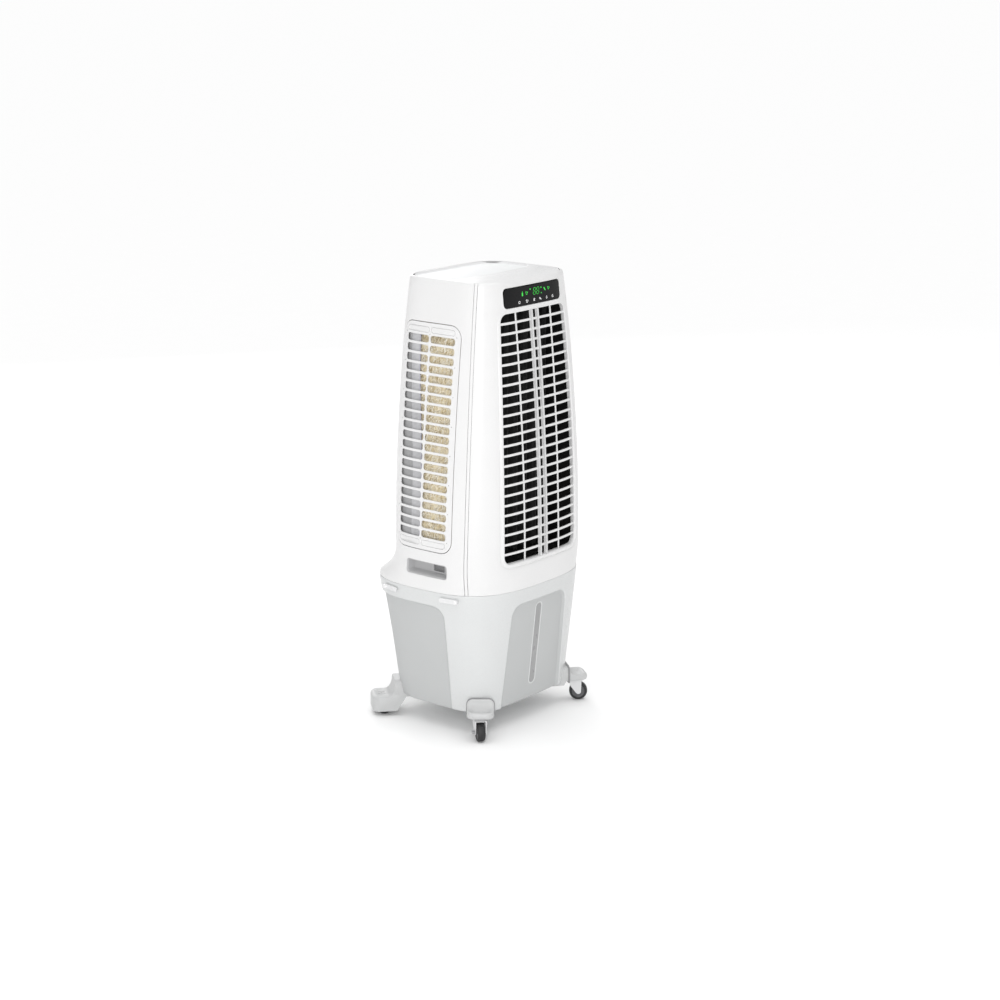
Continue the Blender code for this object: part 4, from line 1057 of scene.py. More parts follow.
def soft_corner(low, high, radius):
    """Return a map that bends a rectangle's corners round without moving the rest."""
    def bent(u, v):
        near_u = min(max(u, low[0] + radius), high[0] - radius)
        near_v = min(max(v, low[1] + radius), high[1] - radius)
        a = (u - near_u) / radius
        b = (v - near_v) / radius
        return (near_u + radius * a * math.sqrt(max(0.0, 1.0 - b * b / 2.0)),
                near_v + radius * b * math.sqrt(max(0.0, 1.0 - a * a / 2.0)))
    return bent


def shrunk(loop, trim):
    """Return a loop pulled in by about the same amount all round."""
    middle = []
    scale = []
    for axis in (0, 1):
        values = [entry[axis] for entry in loop]
        middle.append((min(values) + max(values)) / 2.0)
        scale.append(1.0 - trim / ((max(values) - min(values)) / 2.0))
    return [tuple(middle[axis] + (entry[axis] - middle[axis]) * scale[axis] for axis in (0, 1))
            for entry in loop]


def slot_levels():
    """Return the heights that part one row of slots from the next, from low to high."""
    centres = [SLOT_TOP_Z - index * SLOT_PITCH for index in reversed(range(SLOT_BARS))]
    return [PANEL_LOW_Z + PANEL_GROOVE] + centres + [PANEL_HIGH_Z - PANEL_GROOVE]


def blind_slot(skin, place, hole, runs):
    """Skin a closed slot: a sunk groove round a plate that is nearly flush."""
    edge = placed(hole, place, 0.0)
    behind = placed(hole, place, WALL)
    border = border_loop(runs)
    plate = shrunk(hole, BLIND_PLATE_TRIM)
    plate_top = placed(plate, place, BLIND_PLATE_INSET)
    skin.band(placed(border, place, 0.0), edge, closed=True)
    groove = [placed(loop, place, BLIND_SLOT_DEPTH) for loop in (hole, plate)]
    skin.bands([edge, *groove, plate_top], closed=True)
    skin.face(plate_top)
    skin.band(placed(border, place, WALL), behind, closed=True)
    skin.face(behind)


def slotted_panel(name, edges, slots, place):
    """Panel of round-ended slots in two columns, with blind slots above and below."""
    low = (edges[0], PANEL_LOW_Z + PANEL_GROOVE)
    high = (edges[-1], PANEL_HIGH_Z - PANEL_GROOVE)
    bent = soft_corner(low, high, PANEL_CORNER - PANEL_GROOVE)
    skin = Skin()

    def spot(u, v, inset):
        return place(*bent(u, v), inset)

    levels = slot_levels()
    last = len(levels) - 2
    half_bar = SLOT_BAR_HEIGHT / 2.0
    for column in range(2):
        left, right = edges[column], edges[column + 1]
        slot_left, slot_right = slots[column]
        for row in range(last + 1):
            bottom, top = levels[row], levels[row + 1]
            slot_low, slot_high = bottom + half_bar, top - half_bar
            if row == 0:
                slot_low = slot_high - BLIND_SLOT_HEIGHT
            if row == last:
                slot_high = slot_low + BLIND_SLOT_HEIGHT
            hole = upright_loop((slot_left, slot_low), (slot_right, slot_high), SLOT_CORNER,
                                SLOT_ACROSS, SLOT_UP)
            inner_u = (slot_left + SLOT_CORNER, slot_right - SLOT_CORNER)
            inner_v = (bottom + SLOT_INNER, top - SLOT_INNER)
            runs = border_runs(constant(left), constant(right), bottom, top, inner_u, inner_v,
                               SLOT_ACROSS, SLOT_UP)
            if row in (0, last):
                blind_slot(skin, spot, hole, runs)
            else:
                surround(skin, spot, hole, runs, 1, WALL)
            for side, is_border in zip(runs, (row == 0, column == 1, row == last, column == 0)):
                if is_border:
                    rim(skin, spot, side, WALL)
    panel = skin.build(name, "white")
    return soften(panel, 0.0009, 2, 50.0)


def make_screws(name, places):
    """Small dark screw heads sunk at the ends of every third bar."""
    skin = Skin()
    for centre, direction in places:
        turned(skin, SCREW_PROFILE, 12, facing(direction, centre))
    return skin.build(name, "screw")


def screw_places(place, columns, middle):
    """Return where the screws stand and which way they face."""
    places = []
    for bar in range(0, SLOT_BARS, SCREW_EVERY):
        z = SLOT_TOP_Z - bar * SLOT_PITCH
        shown = list(columns) + ([middle] if bar in (0, SLOT_BARS - 1) else [])
        for u in shown:
            centre = place(u, z, 0.0)
            places.append((centre, (centre - place(u, z, 0.01)).normalized()))
    return places


def wool_block(skin, place, low, high, seed):
    """Uneven block of packed wood fibre."""
    chance = random.Random(seed)
    columns, rows = 26, 80
    bent = soft_corner(low, high, PAD_CORNER)
    grids = []
    for inset, sign in zip(PAD_INSETS, (1.0, -1.0)):
        grid = []
        for i in range(columns + 1):
            line = []
            for j in range(rows + 1):
                u = low[0] + (high[0] - low[0]) * i / columns
                v = low[1] + (high[1] - low[1]) * j / rows
                sunk = chance.uniform(0.0, PAD_ROUGHNESS)
                edge = min(i, columns - i, 2) / 2.0 * min(j, rows - j, 2) / 2.0
                line.append(place(*bent(u, v), inset + sign * (sunk + PAD_EDGE_DROP * (1.0 - edge))))
            grid.append(line)
        grids.append(grid)
    skin.slab(*grids)


def shavings(skin, place, low, high, count, seed):
    """Curled ribbons of wood lying over a pad."""
    chance = random.Random(seed)
    for _ in range(count):
        u = chance.uniform(low[0] + 0.006, high[0] - 0.006)
        v = chance.uniform(low[1] + 0.010, high[1] - 0.010)
        heading = math.radians(chance.gauss(118.0, 26.0))
        bend = math.radians(chance.uniform(-28.0, 28.0))
        width = chance.uniform(0.0008, 0.0017)
        depth = chance.uniform(-0.0026, 0.0006)
        rings = []
        for index in range(6):
            twist = math.sin(index * 0.9 + depth * 4000.0) * 0.0006
            across = (-math.sin(heading) * width, math.cos(heading) * width)
            ring = []
            for step, thick in BOX_CORNERS:
                ring.append(place(u + across[0] * step, v + across[1] * step,
                                  SHAVINGS_INSET + depth + thick * SHAVING_THICKNESS + twist * step * 2.0))
            rings.append(ring)
            u = min(max(u + math.cos(heading) * SHAVING_STEP, low[0] + 0.003), high[0] - 0.003)
            v = min(max(v + math.sin(heading) * SHAVING_STEP, low[1] + 0.003), high[1] - 0.003)
            heading += bend / 3.0
        skin.tube(rings)


def make_pad(name, body, node, place, low, high, seed):
    """Wood-wool cooling pad: a packed block under loose shavings."""
    skin = Skin()
    wool_block(skin, place, low, high, seed)
    pad = settle(skin.build("pad_core_" + name, "wool", 80.0), body, "wood_wool", node)
    skin = Skin()
    area = (high[0] - low[0]) * (high[1] - low[1])
    shavings(skin, place, low, high, int(area * SHAVINGS_PER_AREA), seed + 50)
    settle(skin.build("pad_shavings_" + name, "shaving", 80.0), body, "wood_wool")


def filter_lean(z):
    """Return how far the filter leans to the rear at a height, as a share."""
    return smooth_step((z - 0.64) / 0.46)


def filter_edge_y(z):
    """Return the y of the filter's front edge."""
    return FILTER_FRONT_Y + 0.030 * filter_lean(z)


def filter_fold_y(z):
    """Return the y where the filter is folded double."""
    return FILTER_FOLD_Y + 0.031 * filter_lean(z)


def filter_strip(side, start, end, insets, columns, heights):
    """Return a thin strip of the filter between two upright edges."""
    grids = []
    for inset in insets:
        grid = []
        for index in range(columns + 1):
            line = []
            for z in heights:
                first = start(z)
                line.append(on_side(side, first + (end(z) - first) * index / columns, z, inset))
            grid.append(line)
        grids.append(grid)
    skin = Skin()
    skin.slab(*grids)
    return skin


def make_filter(name, side):
    """Woven dust filter behind the rear half of the side slots, folded double at its rear."""
    low_z, high_z = PANEL_LOW_Z + FILTER_MARGIN, PANEL_HIGH_Z - FILTER_MARGIN
    heights = even(low_z, high_z, 40)
    rear = constant(FILTER_REAR_Y)
    body = "intake_" + name
    whole = filter_strip(side, filter_edge_y, rear, (0.0078, 0.0082), 14, heights)
    whole = whole.build("filter_mesh_" + name, "filter")
    settle(whole, body, "filter_mesh", "dust_filter_" + name)
    fold = filter_strip(side, filter_fold_y, rear, (0.0072, 0.0076), 10, heights)
    fold = fold.build("filter_fold_" + name, "filter_fold")
    settle(fold, body, "filter_mesh")
    edge = filter_strip(side, filter_edge_y, lambda z: filter_edge_y(z) + FILTER_BINDING,
                        (0.0070, 0.0086), 1, heights)
    settle(soften(edge.build("filter_binding_" + name, "filter_edge"), 0.0003), body, "filter_mesh")
    for piece, start, width in ((whole, filter_edge_y, FILTER_WIDTH), (fold, filter_fold_y, FOLD_WIDTH)):
        lengths = [(on_side(side, FILTER_REAR_Y, z) - on_side(side, start(z), z)).length for z in heights]


def make_intakes():
    """The two side intakes and the rear one, with their pads and filters."""
    pad_z = (PANEL_LOW_Z + PAD_MARGIN, PANEL_HIGH_Z - PAD_MARGIN)
    edges = (PANEL_FRONT_Y + PANEL_GROOVE, SIDE_MIDDLE_Y, PANEL_REAR_Y - PANEL_GROOVE)
    for name, side in SIDES:
        def place(y, z, inset=0.0, side=side):
            return on_side(side, y, z, inset)

        body = "intake_" + name
        panel = slotted_panel("side_panel_%s_face" % name, edges, SIDE_SLOTS, place)
        settle(panel, body, "white_plastic", "side_panel_" + name)
        places = screw_places(place, SIDE_SCREWS_Y, SIDE_MIDDLE_Y)
        screws = make_screws("side_panel_%s_screws" % name, places)
        settle(screws, body, "white_plastic")
        make_pad(name, body, "cooling_pad_" + name, place, (PAD_SIDE_Y[0], pad_z[0]),
                 (PAD_SIDE_Y[1], pad_z[1]), 10 + side)
        make_filter(name, side)
    wide = REAR_PANEL_HALF_WIDTH - PANEL_GROOVE
    panel = slotted_panel("rear_panel_face", (-wide, 0.0, wide), REAR_SLOTS, on_rear)
    settle(panel, "intake_rear", "white_plastic", "rear_panel")
    screws = make_screws("rear_panel_screws", screw_places(on_rear, REAR_SCREWS_X, 0.0))
    settle(screws, "intake_rear", "white_plastic")
    make_pad("rear", "intake_rear", "cooling_pad_rear", on_rear, (PAD_REAR_X[0], pad_z[0]),
             (PAD_REAR_X[1], pad_z[1]), 30)


# ---------------------------------------------------------------- grille

def make_grille():
    """Outlet grille: one net of rounded bars across and thin uprights."""
    half = [RIB_X - RIB_WIDTH / 2.0, RIB_X + RIB_WIDTH / 2.0, 0.030, 0.050, UPRIGHT_X - UPRIGHT_WIDTH / 2.0,
            UPRIGHT_X + UPRIGHT_WIDTH / 2.0]
    half += [half[-1] + 0.1 * step for step in range(1, 9)]
    columns = [-place for place in reversed(half)] + half
    rows = []
    for index in reversed(range(BAR_COUNT)):
        centre = BAR_TOP_Z - index * BAR_PITCH
        for offset in (-BAR_HEIGHT / 2.0 - BAR_EDGE, -BAR_HEIGHT / 2.0, BAR_HEIGHT / 2.0,
                       BAR_HEIGHT / 2.0 + BAR_EDGE):
            rows.append((centre + offset, abs(offset) > BAR_HEIGHT / 2.0 + 0.0001))
    rows = [(OUTLET_LOW_Z - 0.001, True)] + rows + [(OUTLET_HIGH_Z + 0.001, True)]

    def is_upright(i):
        middle = abs(columns[i] + columns[i + 1]) / 2.0
        return min(abs(middle - RIB_X), abs(middle - UPRIGHT_X)) < 0.001

    def solid(i, j):
        if not (0 <= i < len(columns) - 1 and 0 <= j < len(rows) - 1):
            return False
        in_bar = not rows[j][1] and not rows[j + 1][1]
        return in_bar or is_upright(i)

    def node(i, j, depth):
        z, thin = rows[j]
        x = columns[i]
        inner = UPRIGHT_X + UPRIGHT_WIDTH / 2.0
        if abs(x) > inner:
            share = (abs(x) - inner) / 0.8
            x = math.copysign(inner + share * (outlet_half_width(z) - 0.0002 - inner), x)
        return on_front(x, z, GRILLE_SETBACK + depth + (0.0008 if thin and depth == 0.0 else 0.0))

    skin = Skin()
    for i in range(len(columns) - 1):
        for j in range(len(rows) - 1):
            if not solid(i, j):
                continue
            loop = [(i, j), (i + 1, j), (i + 1, j + 1), (i, j + 1)]
            skin.face([node(a, b, 0.0) for a, b in loop])
            skin.face([node(a, b, GRILLE_DEPTH) for a, b in reversed(loop)])
            for edge, beyond in enumerate(((i, j - 1), (i + 1, j), (i, j + 1), (i - 1, j))):
                if not solid(*beyond):
                    start, end = loop[edge], loop[(edge + 1) % 4]
                    skin.face([node(*start, 0.0), node(*start, GRILLE_DEPTH), node(*end, GRILLE_DEPTH),
                               node(*end, 0.0)])
    grille = skin.build("grille_bars", "white")
    soften(grille, 0.0014, 3, 50.0)
    settle(grille, "tower", "white_plastic", "front_grille")


def make_fins():
    """Two deep upright fins down the middle of the grille, standing proud of it, in a grey that is painted
    shade on white plastic.
    """
    for name, side in SIDES:
        rings = []
        for z in even(OUTLET_LOW_Z, OUTLET_HIGH_Z, 30):
            ring = []
            for across, back in BOX_CORNERS:
                x = side * RIB_X + across * (RIB_WIDTH - RIB_TRIM)
                ring.append(on_front(x, z, back * RIB_DEPTH - RIB_PROUD))
            rings.append(ring)
        skin = Skin()
        skin.tube(rings)
        # Grey fin material: painted shade on white plastic.
        rib = soften(skin.build("grille_fin_" + name, "fin"), 0.0008, 2)
        settle(rib, "tower", "white_plastic", "grille_rib_" + name)


# ---------------------------------------------------------------- display

def on_display(x, z, lift):
    """Return a point over the display lens."""
    return on_front(x * MARK_SPREAD, z, -LENS_PROUD - lift)


def make_lens():
    """Glossy dark lens with a blacker border."""
    wide = DISPLAY_HALF_WIDTH - LENS_SIDE_GAP
    low, high = DISPLAY_LOW_Z + LENS_GAP, DISPLAY_HIGH_Z - LENS_GAP
    for name, trim, setbacks, material in (("display_border", 0.0, (0.0002, 0.004), "lens_edge"),
                                           ("display_lens", 0.0020, (-LENS_PROUD, 0.001), "lens")):
        edge = wide - trim
        bent = soft_corner((-edge, low + trim), (edge, high - trim), DISPLAY_CORNER - LENS_GAP - trim)
        grids = []
        for setback in setbacks:
            grids.append([[on_front(*bent(x, z), setback) for z in even(low + trim, high - trim, 12)]
                          for x in even(-edge, edge, 36)])
        skin = Skin()
        skin.slab(*grids)
        lens = soften(skin.build(name, material), 0.0003, 2, 60.0)
        settle(lens, "tower", "display_black", *(("display_panel",) if trim else ()))


def stroke(skin, path, width, closed=False):
    """Lay a thin raised line on the display."""
    count = len(path)
    rings = []
    for index, (x, z) in enumerate(path):
        before = path[(index - 1) % count] if closed or index else path[index]
        after = path[(index + 1) % count] if closed or index < count - 1 else path[index]
        along = Vector((after[0] - before[0], after[1] - before[1])).normalized()
        ring = []
        for share, lift in ((-0.5, -0.0002), (0.5, -0.0002), (0.5, 0.00025), (-0.5, 0.00025)):
            ring.append(on_display(x - along.y * width * share, z + along.x * width * share, lift))
        rings.append(ring)
    if closed:
        skin.bands(rings + rings[:1], closed=True)
    else:
        skin.tube(rings)


def digit(skin, x, z, wide, tall, slant):
    """Lay a seven-segment figure with every segment lit."""
    def spot(u, v):
        return x + u * wide / 2.0 + slant * v * tall / 2.0, z + v * tall / 2.0

    pull = 0.16
    for v in (-1.0, 0.0, 1.0):
        stroke(skin, [spot(-1.0 + 2.0 * pull, v), spot(1.0 - 2.0 * pull, v)], 0.0010)
    for u in (-1.0, 1.0):
        for v in (-1.0, 0.0):
            stroke(skin, [spot(u, v + pull), spot(u, v + 1.0 - pull)], 0.0010)


def ring_path(x, z, radius, start=0.0, end=360.0, count=14):
    """Return points on part of a circle."""
    turns = [math.radians(start + (end - start) * index / count) for index in range(count + 1)]
    return [(x + radius * math.cos(turn), z + radius * math.sin(turn)) for turn in turns]


def small_fan(skin, x, z, size):
    """Three curved blades round a point."""
    for index in range(3):
        turn = 120.0 * index + 20.0
        centre = ring_path(x, z, size * 0.5, turn, turn, 1)[0]
        stroke(skin, ring_path(*centre, size * 0.42, turn - 110.0, turn + 70.0, 6), size * 0.42)


def small_drop(skin, x, z, size):
    """A water drop drawn as an outline."""
    path = [(x, z + size)] + ring_path(x, z - size * 0.25, size * 0.62, 30.0, -210.0, 12)
    stroke(skin, path, size * 0.24, closed=True)


LIT_STROKES = (
    (0.0044, (-0.0400, 1.1560), (-0.0400, 1.1640)), (0.0020, (-0.0400, 1.1650), (-0.0390, 1.1672)),
    (0.0030, (-0.0118, 1.1700), (-0.0085, 1.1700)), (0.0028, (0.0300, 1.1685), (0.0325, 1.1702)),
    (0.0026, (0.0305, 1.1562), (0.0318, 1.1542)), (0.0030, (0.0415, 1.1680), (0.0468, 1.1600)),
)
LIT_FANS = ((-0.0240, 1.1620, 0.0040), (0.0590, 1.1645, 0.0036))
FIGURES_X = (0.0058, 0.0182)
FIGURE = (1.1632, 0.0086, 0.0172, 0.16)
MARK_Z = 1.1415
MARK_STROKES = (
    (0.0010, (-0.0530, 0.0012), (-0.0530, 0.0040)), (0.0014, (-0.0002, -0.0022), (0.0050, -0.0022)),
    (0.0014, (-0.0002, 0.0002), (0.0050, 0.0002)), (0.0014, (0.0010, 0.0026), (0.0058, 0.0026)),
    (0.0020, (0.0232, 0.0030), (0.0290, -0.0030)), (0.0009, (0.0222, 0.0008), (0.0250, -0.0022)),
    (0.0008, (0.0735, 0.0018), (0.0735, 0.0), (0.0750, -0.0006)),
)


def make_graphics():
    """Lit figures and the row of touch marks."""
    lit = Skin()
    for x in FIGURES_X:
        digit(lit, x, *FIGURE)
    for width, *path in LIT_STROKES:
        stroke(lit, path, width)
    for x, z, size in LIT_FANS:
        small_fan(lit, x, z, size)
    settle(lit.build("display_segments", "glow"), "tower", "display_black")
    marks = Skin()
    stroke(marks, ring_path(-0.0530, MARK_Z, 0.0030, 125.0, 415.0), 0.0010)
    small_fan(marks, -0.0245, MARK_Z, 0.0038)
    small_drop(marks, 0.0500, MARK_Z, 0.0036)
    stroke(marks, ring_path(0.0735, MARK_Z, 0.0030, 60.0, 360.0), 0.0009)
    for width, *path in MARK_STROKES:
        stroke(marks, [(x, MARK_Z + up) for x, up in path], width)
    settle(marks.build("display_marks", "icon"), "tower", "display_black")


# ---------------------------------------------------------------- top cover

TOP_POINTS = 144
TRAY_POWER = 5.0
PLATE_PROFILE = ((0.0078, 1.1915), (0.0078, 1.1984), (0.0082, 1.1990), (0.0092, 1.1993))
TRAY_PROFILE = ((0.0165, 1.1940), (0.0150, 1.1948), (0.0128, 1.1975), (0.0105, 1.2050))
FLOOR_PROFILE = ((0.0162, 1.1938), (0.0162, 1.1943), (0.0172, 1.1945))


def top_ring(inset, z, tray):
    """Return a ring on the top of the tower, or round its tray."""
    half_width, front, rear, power = tower_section(HEIGHT)
    if tray:
        front, power = TRAY_FRONT_Y, TRAY_POWER
    outline = Outline((half_width - inset, front + inset, rear - inset, power))
    whole = outline.lengths[-1]
    points = []
    for index in range(TOP_POINTS):
        share = 2.0 * index / TOP_POINTS
        length = share * whole if share <= 1.0 else -(2.0 - share) * whole
        x, y = outline.at(length)
        points.append(Vector((x, y, z)))
    return points


def top_piece(name, material, profile, tray=True):
    """Stack rings of (inset, height) pairs into one piece of the top."""
    skin = Skin()
    skin.tube([top_ring(inset, z, tray) for inset, z in profile])
    return skin.build(name, material)


def make_top_cover():
    """Top cover: smooth front band, and a pebbled tray inside a rounded rim."""
    cover = top_piece("top_cover_plate", "band", PLATE_PROFILE, tray=False)
    cut(cover, top_piece("tray_cutter", "band", TRAY_PROFILE))
    soften(cover, 0.0006, 2, 30.0)
    settle(cover, "tower", "white_plastic", "top_cover")
    settle(top_piece("top_tray_floor", "tray", FLOOR_PROFILE), "tower", "white_plastic")


# ---------------------------------------------------------------- tank

def recess_share(length, z, front_edge, side_edge):
    """Return how far the tank's wall is pressed in, from 0 to 1."""
    def inside(across):
        up = RECESS_TOP_Z - z
        radius = RECESS_CORNER
        if across < radius and up < radius:
            return radius - math.hypot(radius - across, radius - up)
        return min(across, up)

    depth = max(inside(front_edge - length), inside(length - side_edge))
    return smooth_step(depth / RECESS_STEP)


def tank_stations(z):
    """Return the columns of the tank's half wall, and where its two recesses start."""
    outline = tank_outline(round(z, 5))
    front_half = FRONT_RECESS_HALF_WIDTH * (0.95 + 0.12 * (SEAM_Z - z) / SEAM_Z)
    front_edge = outline.length_at_x(front_half)
    side_edge = outline.length_at_y(SIDE_RECESS_FRONT_Y)
    fine = ((front_edge - 0.042, front_edge + 0.008), (side_edge - 0.008, side_edge + 0.042))
    spans = [(0.0, fine[0][0], 10), (*fine[0], 32), (fine[0][1], fine[1][0], 18), (*fine[1], 32),
             (fine[1][1], outline.lengths[-1], 44)]
    stations = [place for start, end, count in spans for place in even(start, end, count)[:-1]]
    return stations + [outline.lengths[-1]], front_edge, side_edge


def is_pressed(centre):
    """Return whether a place on the tank's wall lies in a pressed-in panel, which gets painted shade."""
    z = centre.z
    if z > RECESS_TOP_Z or z < 0.064:
        return False
    outline = tank_outline(round(z, 3))
    y = centre.y - SHIFT
    along_front = outline.length_at_x(centre.x) if y < -0.10 else outline.length_at_y(y)
    _, front_edge, side_edge = tank_stations(z)
    return recess_share(along_front, z, front_edge, side_edge) > 0.35


def tank_ring(z, inset):
    """Return a ring of the tank's wall at a height."""
    stations, front_edge, side_edge = tank_stations(z)
    outline = tank_outline(round(z, 5))
    fade = 0.30 + 0.70 * smooth_step((z - 0.070) / 0.20)
    half = []
    for length in stations:
        share = recess_share(length, z, front_edge, side_edge)
        deep = RECESS_DEPTH if length < front_edge + 0.02 else RECESS_DEPTH * fade
        half.append(outline.at(length, inset + share * deep))
    ring = [Vector((x, y, z)) for x, y in half]
    ring += [Vector((-x, y, z)) for x, y in reversed(half[1:-1])]
    return ring


TANK_FOOT = ((0.0621, 0.0050), (0.0626, 0.0026), (0.0640, 0.0008))
TANK_LIP = ((0.3914, 0.0005), (SEAM_Z, 0.0011), (SEAM_Z, 0.0028), (0.3905, TANK_WALL))
TANK_INSIDE = (0.372, 0.362, 0.354, 0.346, 0.330, 0.310, 0.28, 0.22, 0.16, 0.10, 0.070)


def make_tank():
    """Open-topped water tank with pressed-in panels, painted darker as shade."""
    heights = even(0.0660, 0.306, 24)[:-1] + even(0.306, 0.362, 35)[:-1] + [0.362, 0.372, 0.382, 0.3895]
    profile = list(TANK_FOOT) + [(z, 0.0) for z in heights] + list(TANK_LIP)
    profile += [(z, TANK_WALL) for z in TANK_INSIDE] + [(TANK_FLOOR_Z, 0.0060)]
    skin = Skin()
    skin.tube([tank_ring(z, inset) for z, inset in profile])
    tank = skin.build("tank_shell", "tank")
    # Polygons in the pressed-in panels take the darker grey copy: painted shade in the recesses.
    tank.data.materials.append(MATERIALS["tank_panel_painted_shade"])
    for polygon in tank.data.polygons:
        if is_pressed(polygon.center):
            polygon.material_index = 1
    settle(tank, "tank_unit", "tank_grey", "water_tank")


def window_point(x, z, lift):
    """Return a point over the pressed-in front panel of the tank."""
    outline = tank_outline(round(z, 5))
    _, y = outline.at(outline.length_at_x(x), RECESS_DEPTH)
    return Vector((x, y - lift, z))


BEZEL_PROFILE = ((-0.0026, -0.002), (-0.0026, 0.0004), (-0.0020, 0.0011), (-0.0010, 0.0013),
                 (-0.0003, 0.0010), (0.0002, 0.0002), (0.0002, -0.002))
WINDOW_PROFILE = ((0.0009, -0.002), (0.0009, -0.0006), (0.0020, 0.0), (0.0070, 0.0003), (0.0110, 0.0003))


def window_rings(profile):
    """Return rings round the window from (trim, lift) pairs."""
    rings = []
    for trim, lift in profile:
        wide = WINDOW_HALF_WIDTH - trim
        loop = upright_loop((-wide, WINDOW_LOW_Z + trim), (wide, WINDOW_HIGH_Z - trim), wide * 0.98, 4, 30)
        rings.append(placed(loop, window_point, lift))
    return rings


def make_window():
    """Long smoked level window in a light bezel."""
    skin = Skin()
    rings = window_rings(BEZEL_PROFILE)
    skin.bands(rings + rings[:1], closed=True)
    settle(skin.build("window_bezel", "bezel"), "tank_unit", "tank_grey")
    skin = Skin()
    skin.tube(window_rings(WINDOW_PROFILE))
    settle(skin.build("window_lens", "window"), "tank_unit", "window_clear", "level_window")


# ---------------------------------------------------------------- latches

def frame_of(columns):
    """Return a turned frame from its X, Y and Z axes."""
    made = Matrix.Identity(4)
    for column, axis in enumerate(columns):
        made.col[column][:3] = axis
    return made


def latch_frame(side, y, z):
    """Return a frame on the tank rim: X along the rim to the rear, Z outwards."""
    outline = tank_outline(round(z + 0.008, 5))
    length = outline.length_at_y(y)
    x, place = outline.at(length)
    ahead = outline.at(length + 0.003)
    along = Vector((ahead[0] - x, ahead[1] - place, 0.0)).normalized()
    away = Vector((along.y, -along.x, 0.0))
    if side < 0:
        x, along.x, away.x = -x, -along.x, -away.x
    made = frame_of((along, Vector((0, 0, 1)), away))
    made.col[3][:3] = Vector((x, place, z)) + away * 0.0006
    return made


def make_latch(name, place, knob, node):
    """Turn latch: ribbed body with a round knob at its pivot."""
    body = "latch_" + name
    outline = rounded_rectangle((-LATCH_HALF_LENGTH, -LATCH_HALF_HEIGHT),
                                (LATCH_HALF_LENGTH, LATCH_HALF_HEIGHT), LATCH_CORNER)
    if knob > 0:
        outline = [(u + 0.001, v) for u, v in outline]
    skin = Skin()
    prism(skin, outline, 0.0, LATCH_THICKNESS, place)
    settle(soften(skin.build("latch_body_" + name, "fork"), 0.0012, 3), body, "white_plastic", node)
    skin = Skin()
    for index in range(6):
        u = -knob * (KNOB_REACH - LATCH_RIB_PITCH * index)
        rib = rounded_rectangle((u - 0.0011, -LATCH_RIB_HALF), (u + 0.0011, LATCH_RIB_HALF), 0.0008, 2)
        prism(skin, rib, LATCH_THICKNESS - 0.0006, LATCH_THICKNESS + 0.0009, place)
    settle(soften(skin.build("latch_ribs_" + name, "fork"), 0.0004, 2), body, "white_plastic")
    skin = Skin()
    turned(skin, KNOB_PROFILE, 32, place @ Matrix.Translation(Vector((knob * KNOB_REACH, 0.0, 0.0))))
    settle(skin.build("latch_knob_" + name, "band"), body, "white_plastic")


def make_latches():
    """Four turn latches on the tank rim, two on each side."""
    for name, side in SIDES:
        for end, y, knob in LATCH_PLACES:
            whole = "%s_%s" % (end, name)
            make_latch(whole, latch_frame(side, y, LATCH_Z), knob, "rim_latch_" + whole)


# ---------------------------------------------------------------- brackets and casters

def bracket_frame(side_x, side_y):
    """Return a frame with X pointing out over a corner of the tank."""
    lean = FRONT_DIRECTION if side_y < 0 else REAR_DIRECTION
    out = Vector((side_x * lean.x, side_y * lean.y, 0.0))
    up = Vector((0, 0, 1))
    return frame_of((out, up, out.cross(up)))


def rounded_end(across, half, radius):
    """Return how far a rounded corner has fallen back at a place across the width."""
    over = (abs(across) - (half - radius)) / radius
    return radius * (1.0 - math.sqrt(max(0.0, 1.0 - max(0.0, over) ** 2)))


def bracket_ring(across, front):
    """Return the side view of a bracket, cut at a place across its width."""
    half = BRACKET_HALF_WIDTH
    edge = rounded_end(across, half, 0.006) * 0.55
    toe = rounded_end(across, half, 0.020)
    crown = rounded_end(across, half, 0.016)
    dish = (0.0085 if front else 0.0026) * (1.0 - smooth_step((abs(across) / half - 0.35) / 0.55))
    if front:
        reach, under, lip, peak = 0.2935 - toe, 0.0642 + edge, 0.0815 - edge, 0.1040 - crown
        inner = [(FOOT_INNER, FOOT_BASE_Z), (0.224, FOOT_BASE_Z), (0.231, under)]
    else:
        reach, under, lip, peak = 0.3035 - toe, 0.0120 + edge, 0.0556 - edge, 0.0980 - crown
        inner = [(FOOT_INNER, FOOT_BASE_Z), (0.212, FOOT_BASE_Z), (0.238, under)]
    tall = lip - under
    nose = reach - FOOT_NOSE
    ring = inner + [(reach - 0.0060, under), (reach - 0.0018, under + 0.0014), (reach, under + 0.0050),
                    (reach, lip - 0.0070), (reach - 0.0014, lip - 0.0026), (reach - 0.0050, lip - 0.0003),
                    (nose, lip)]
    span = nose - FOOT_WALL - 0.004
    low = lip - dish * min(1.0, tall / 0.012)
    for share in (0.12, 0.25, 0.42, 0.58):
        ring.append((nose - span * share, lip + (low - lip) * smooth_step(share / 0.3)))
    start = nose - span * 0.58
    for share in (0.15, 0.35, 0.60, 0.85, 1.0):
        turn = math.radians(90.0 * share)
        ring.append((start - (start - FOOT_WALL) * math.sin(turn),
                     low + (peak - 0.004 - low) * (1.0 - math.cos(turn))))
    ring += [(FOOT_WALL - 0.0006, peak - 0.0012), (FOOT_WALL - 0.0022, peak), (0.218, peak)]
    return ring


FOOT_STATIONS = (0.0004, 0.0010, 0.0022, 0.0040, 0.0065, 0.010, 0.014, 0.019, 0.024, 0.030)


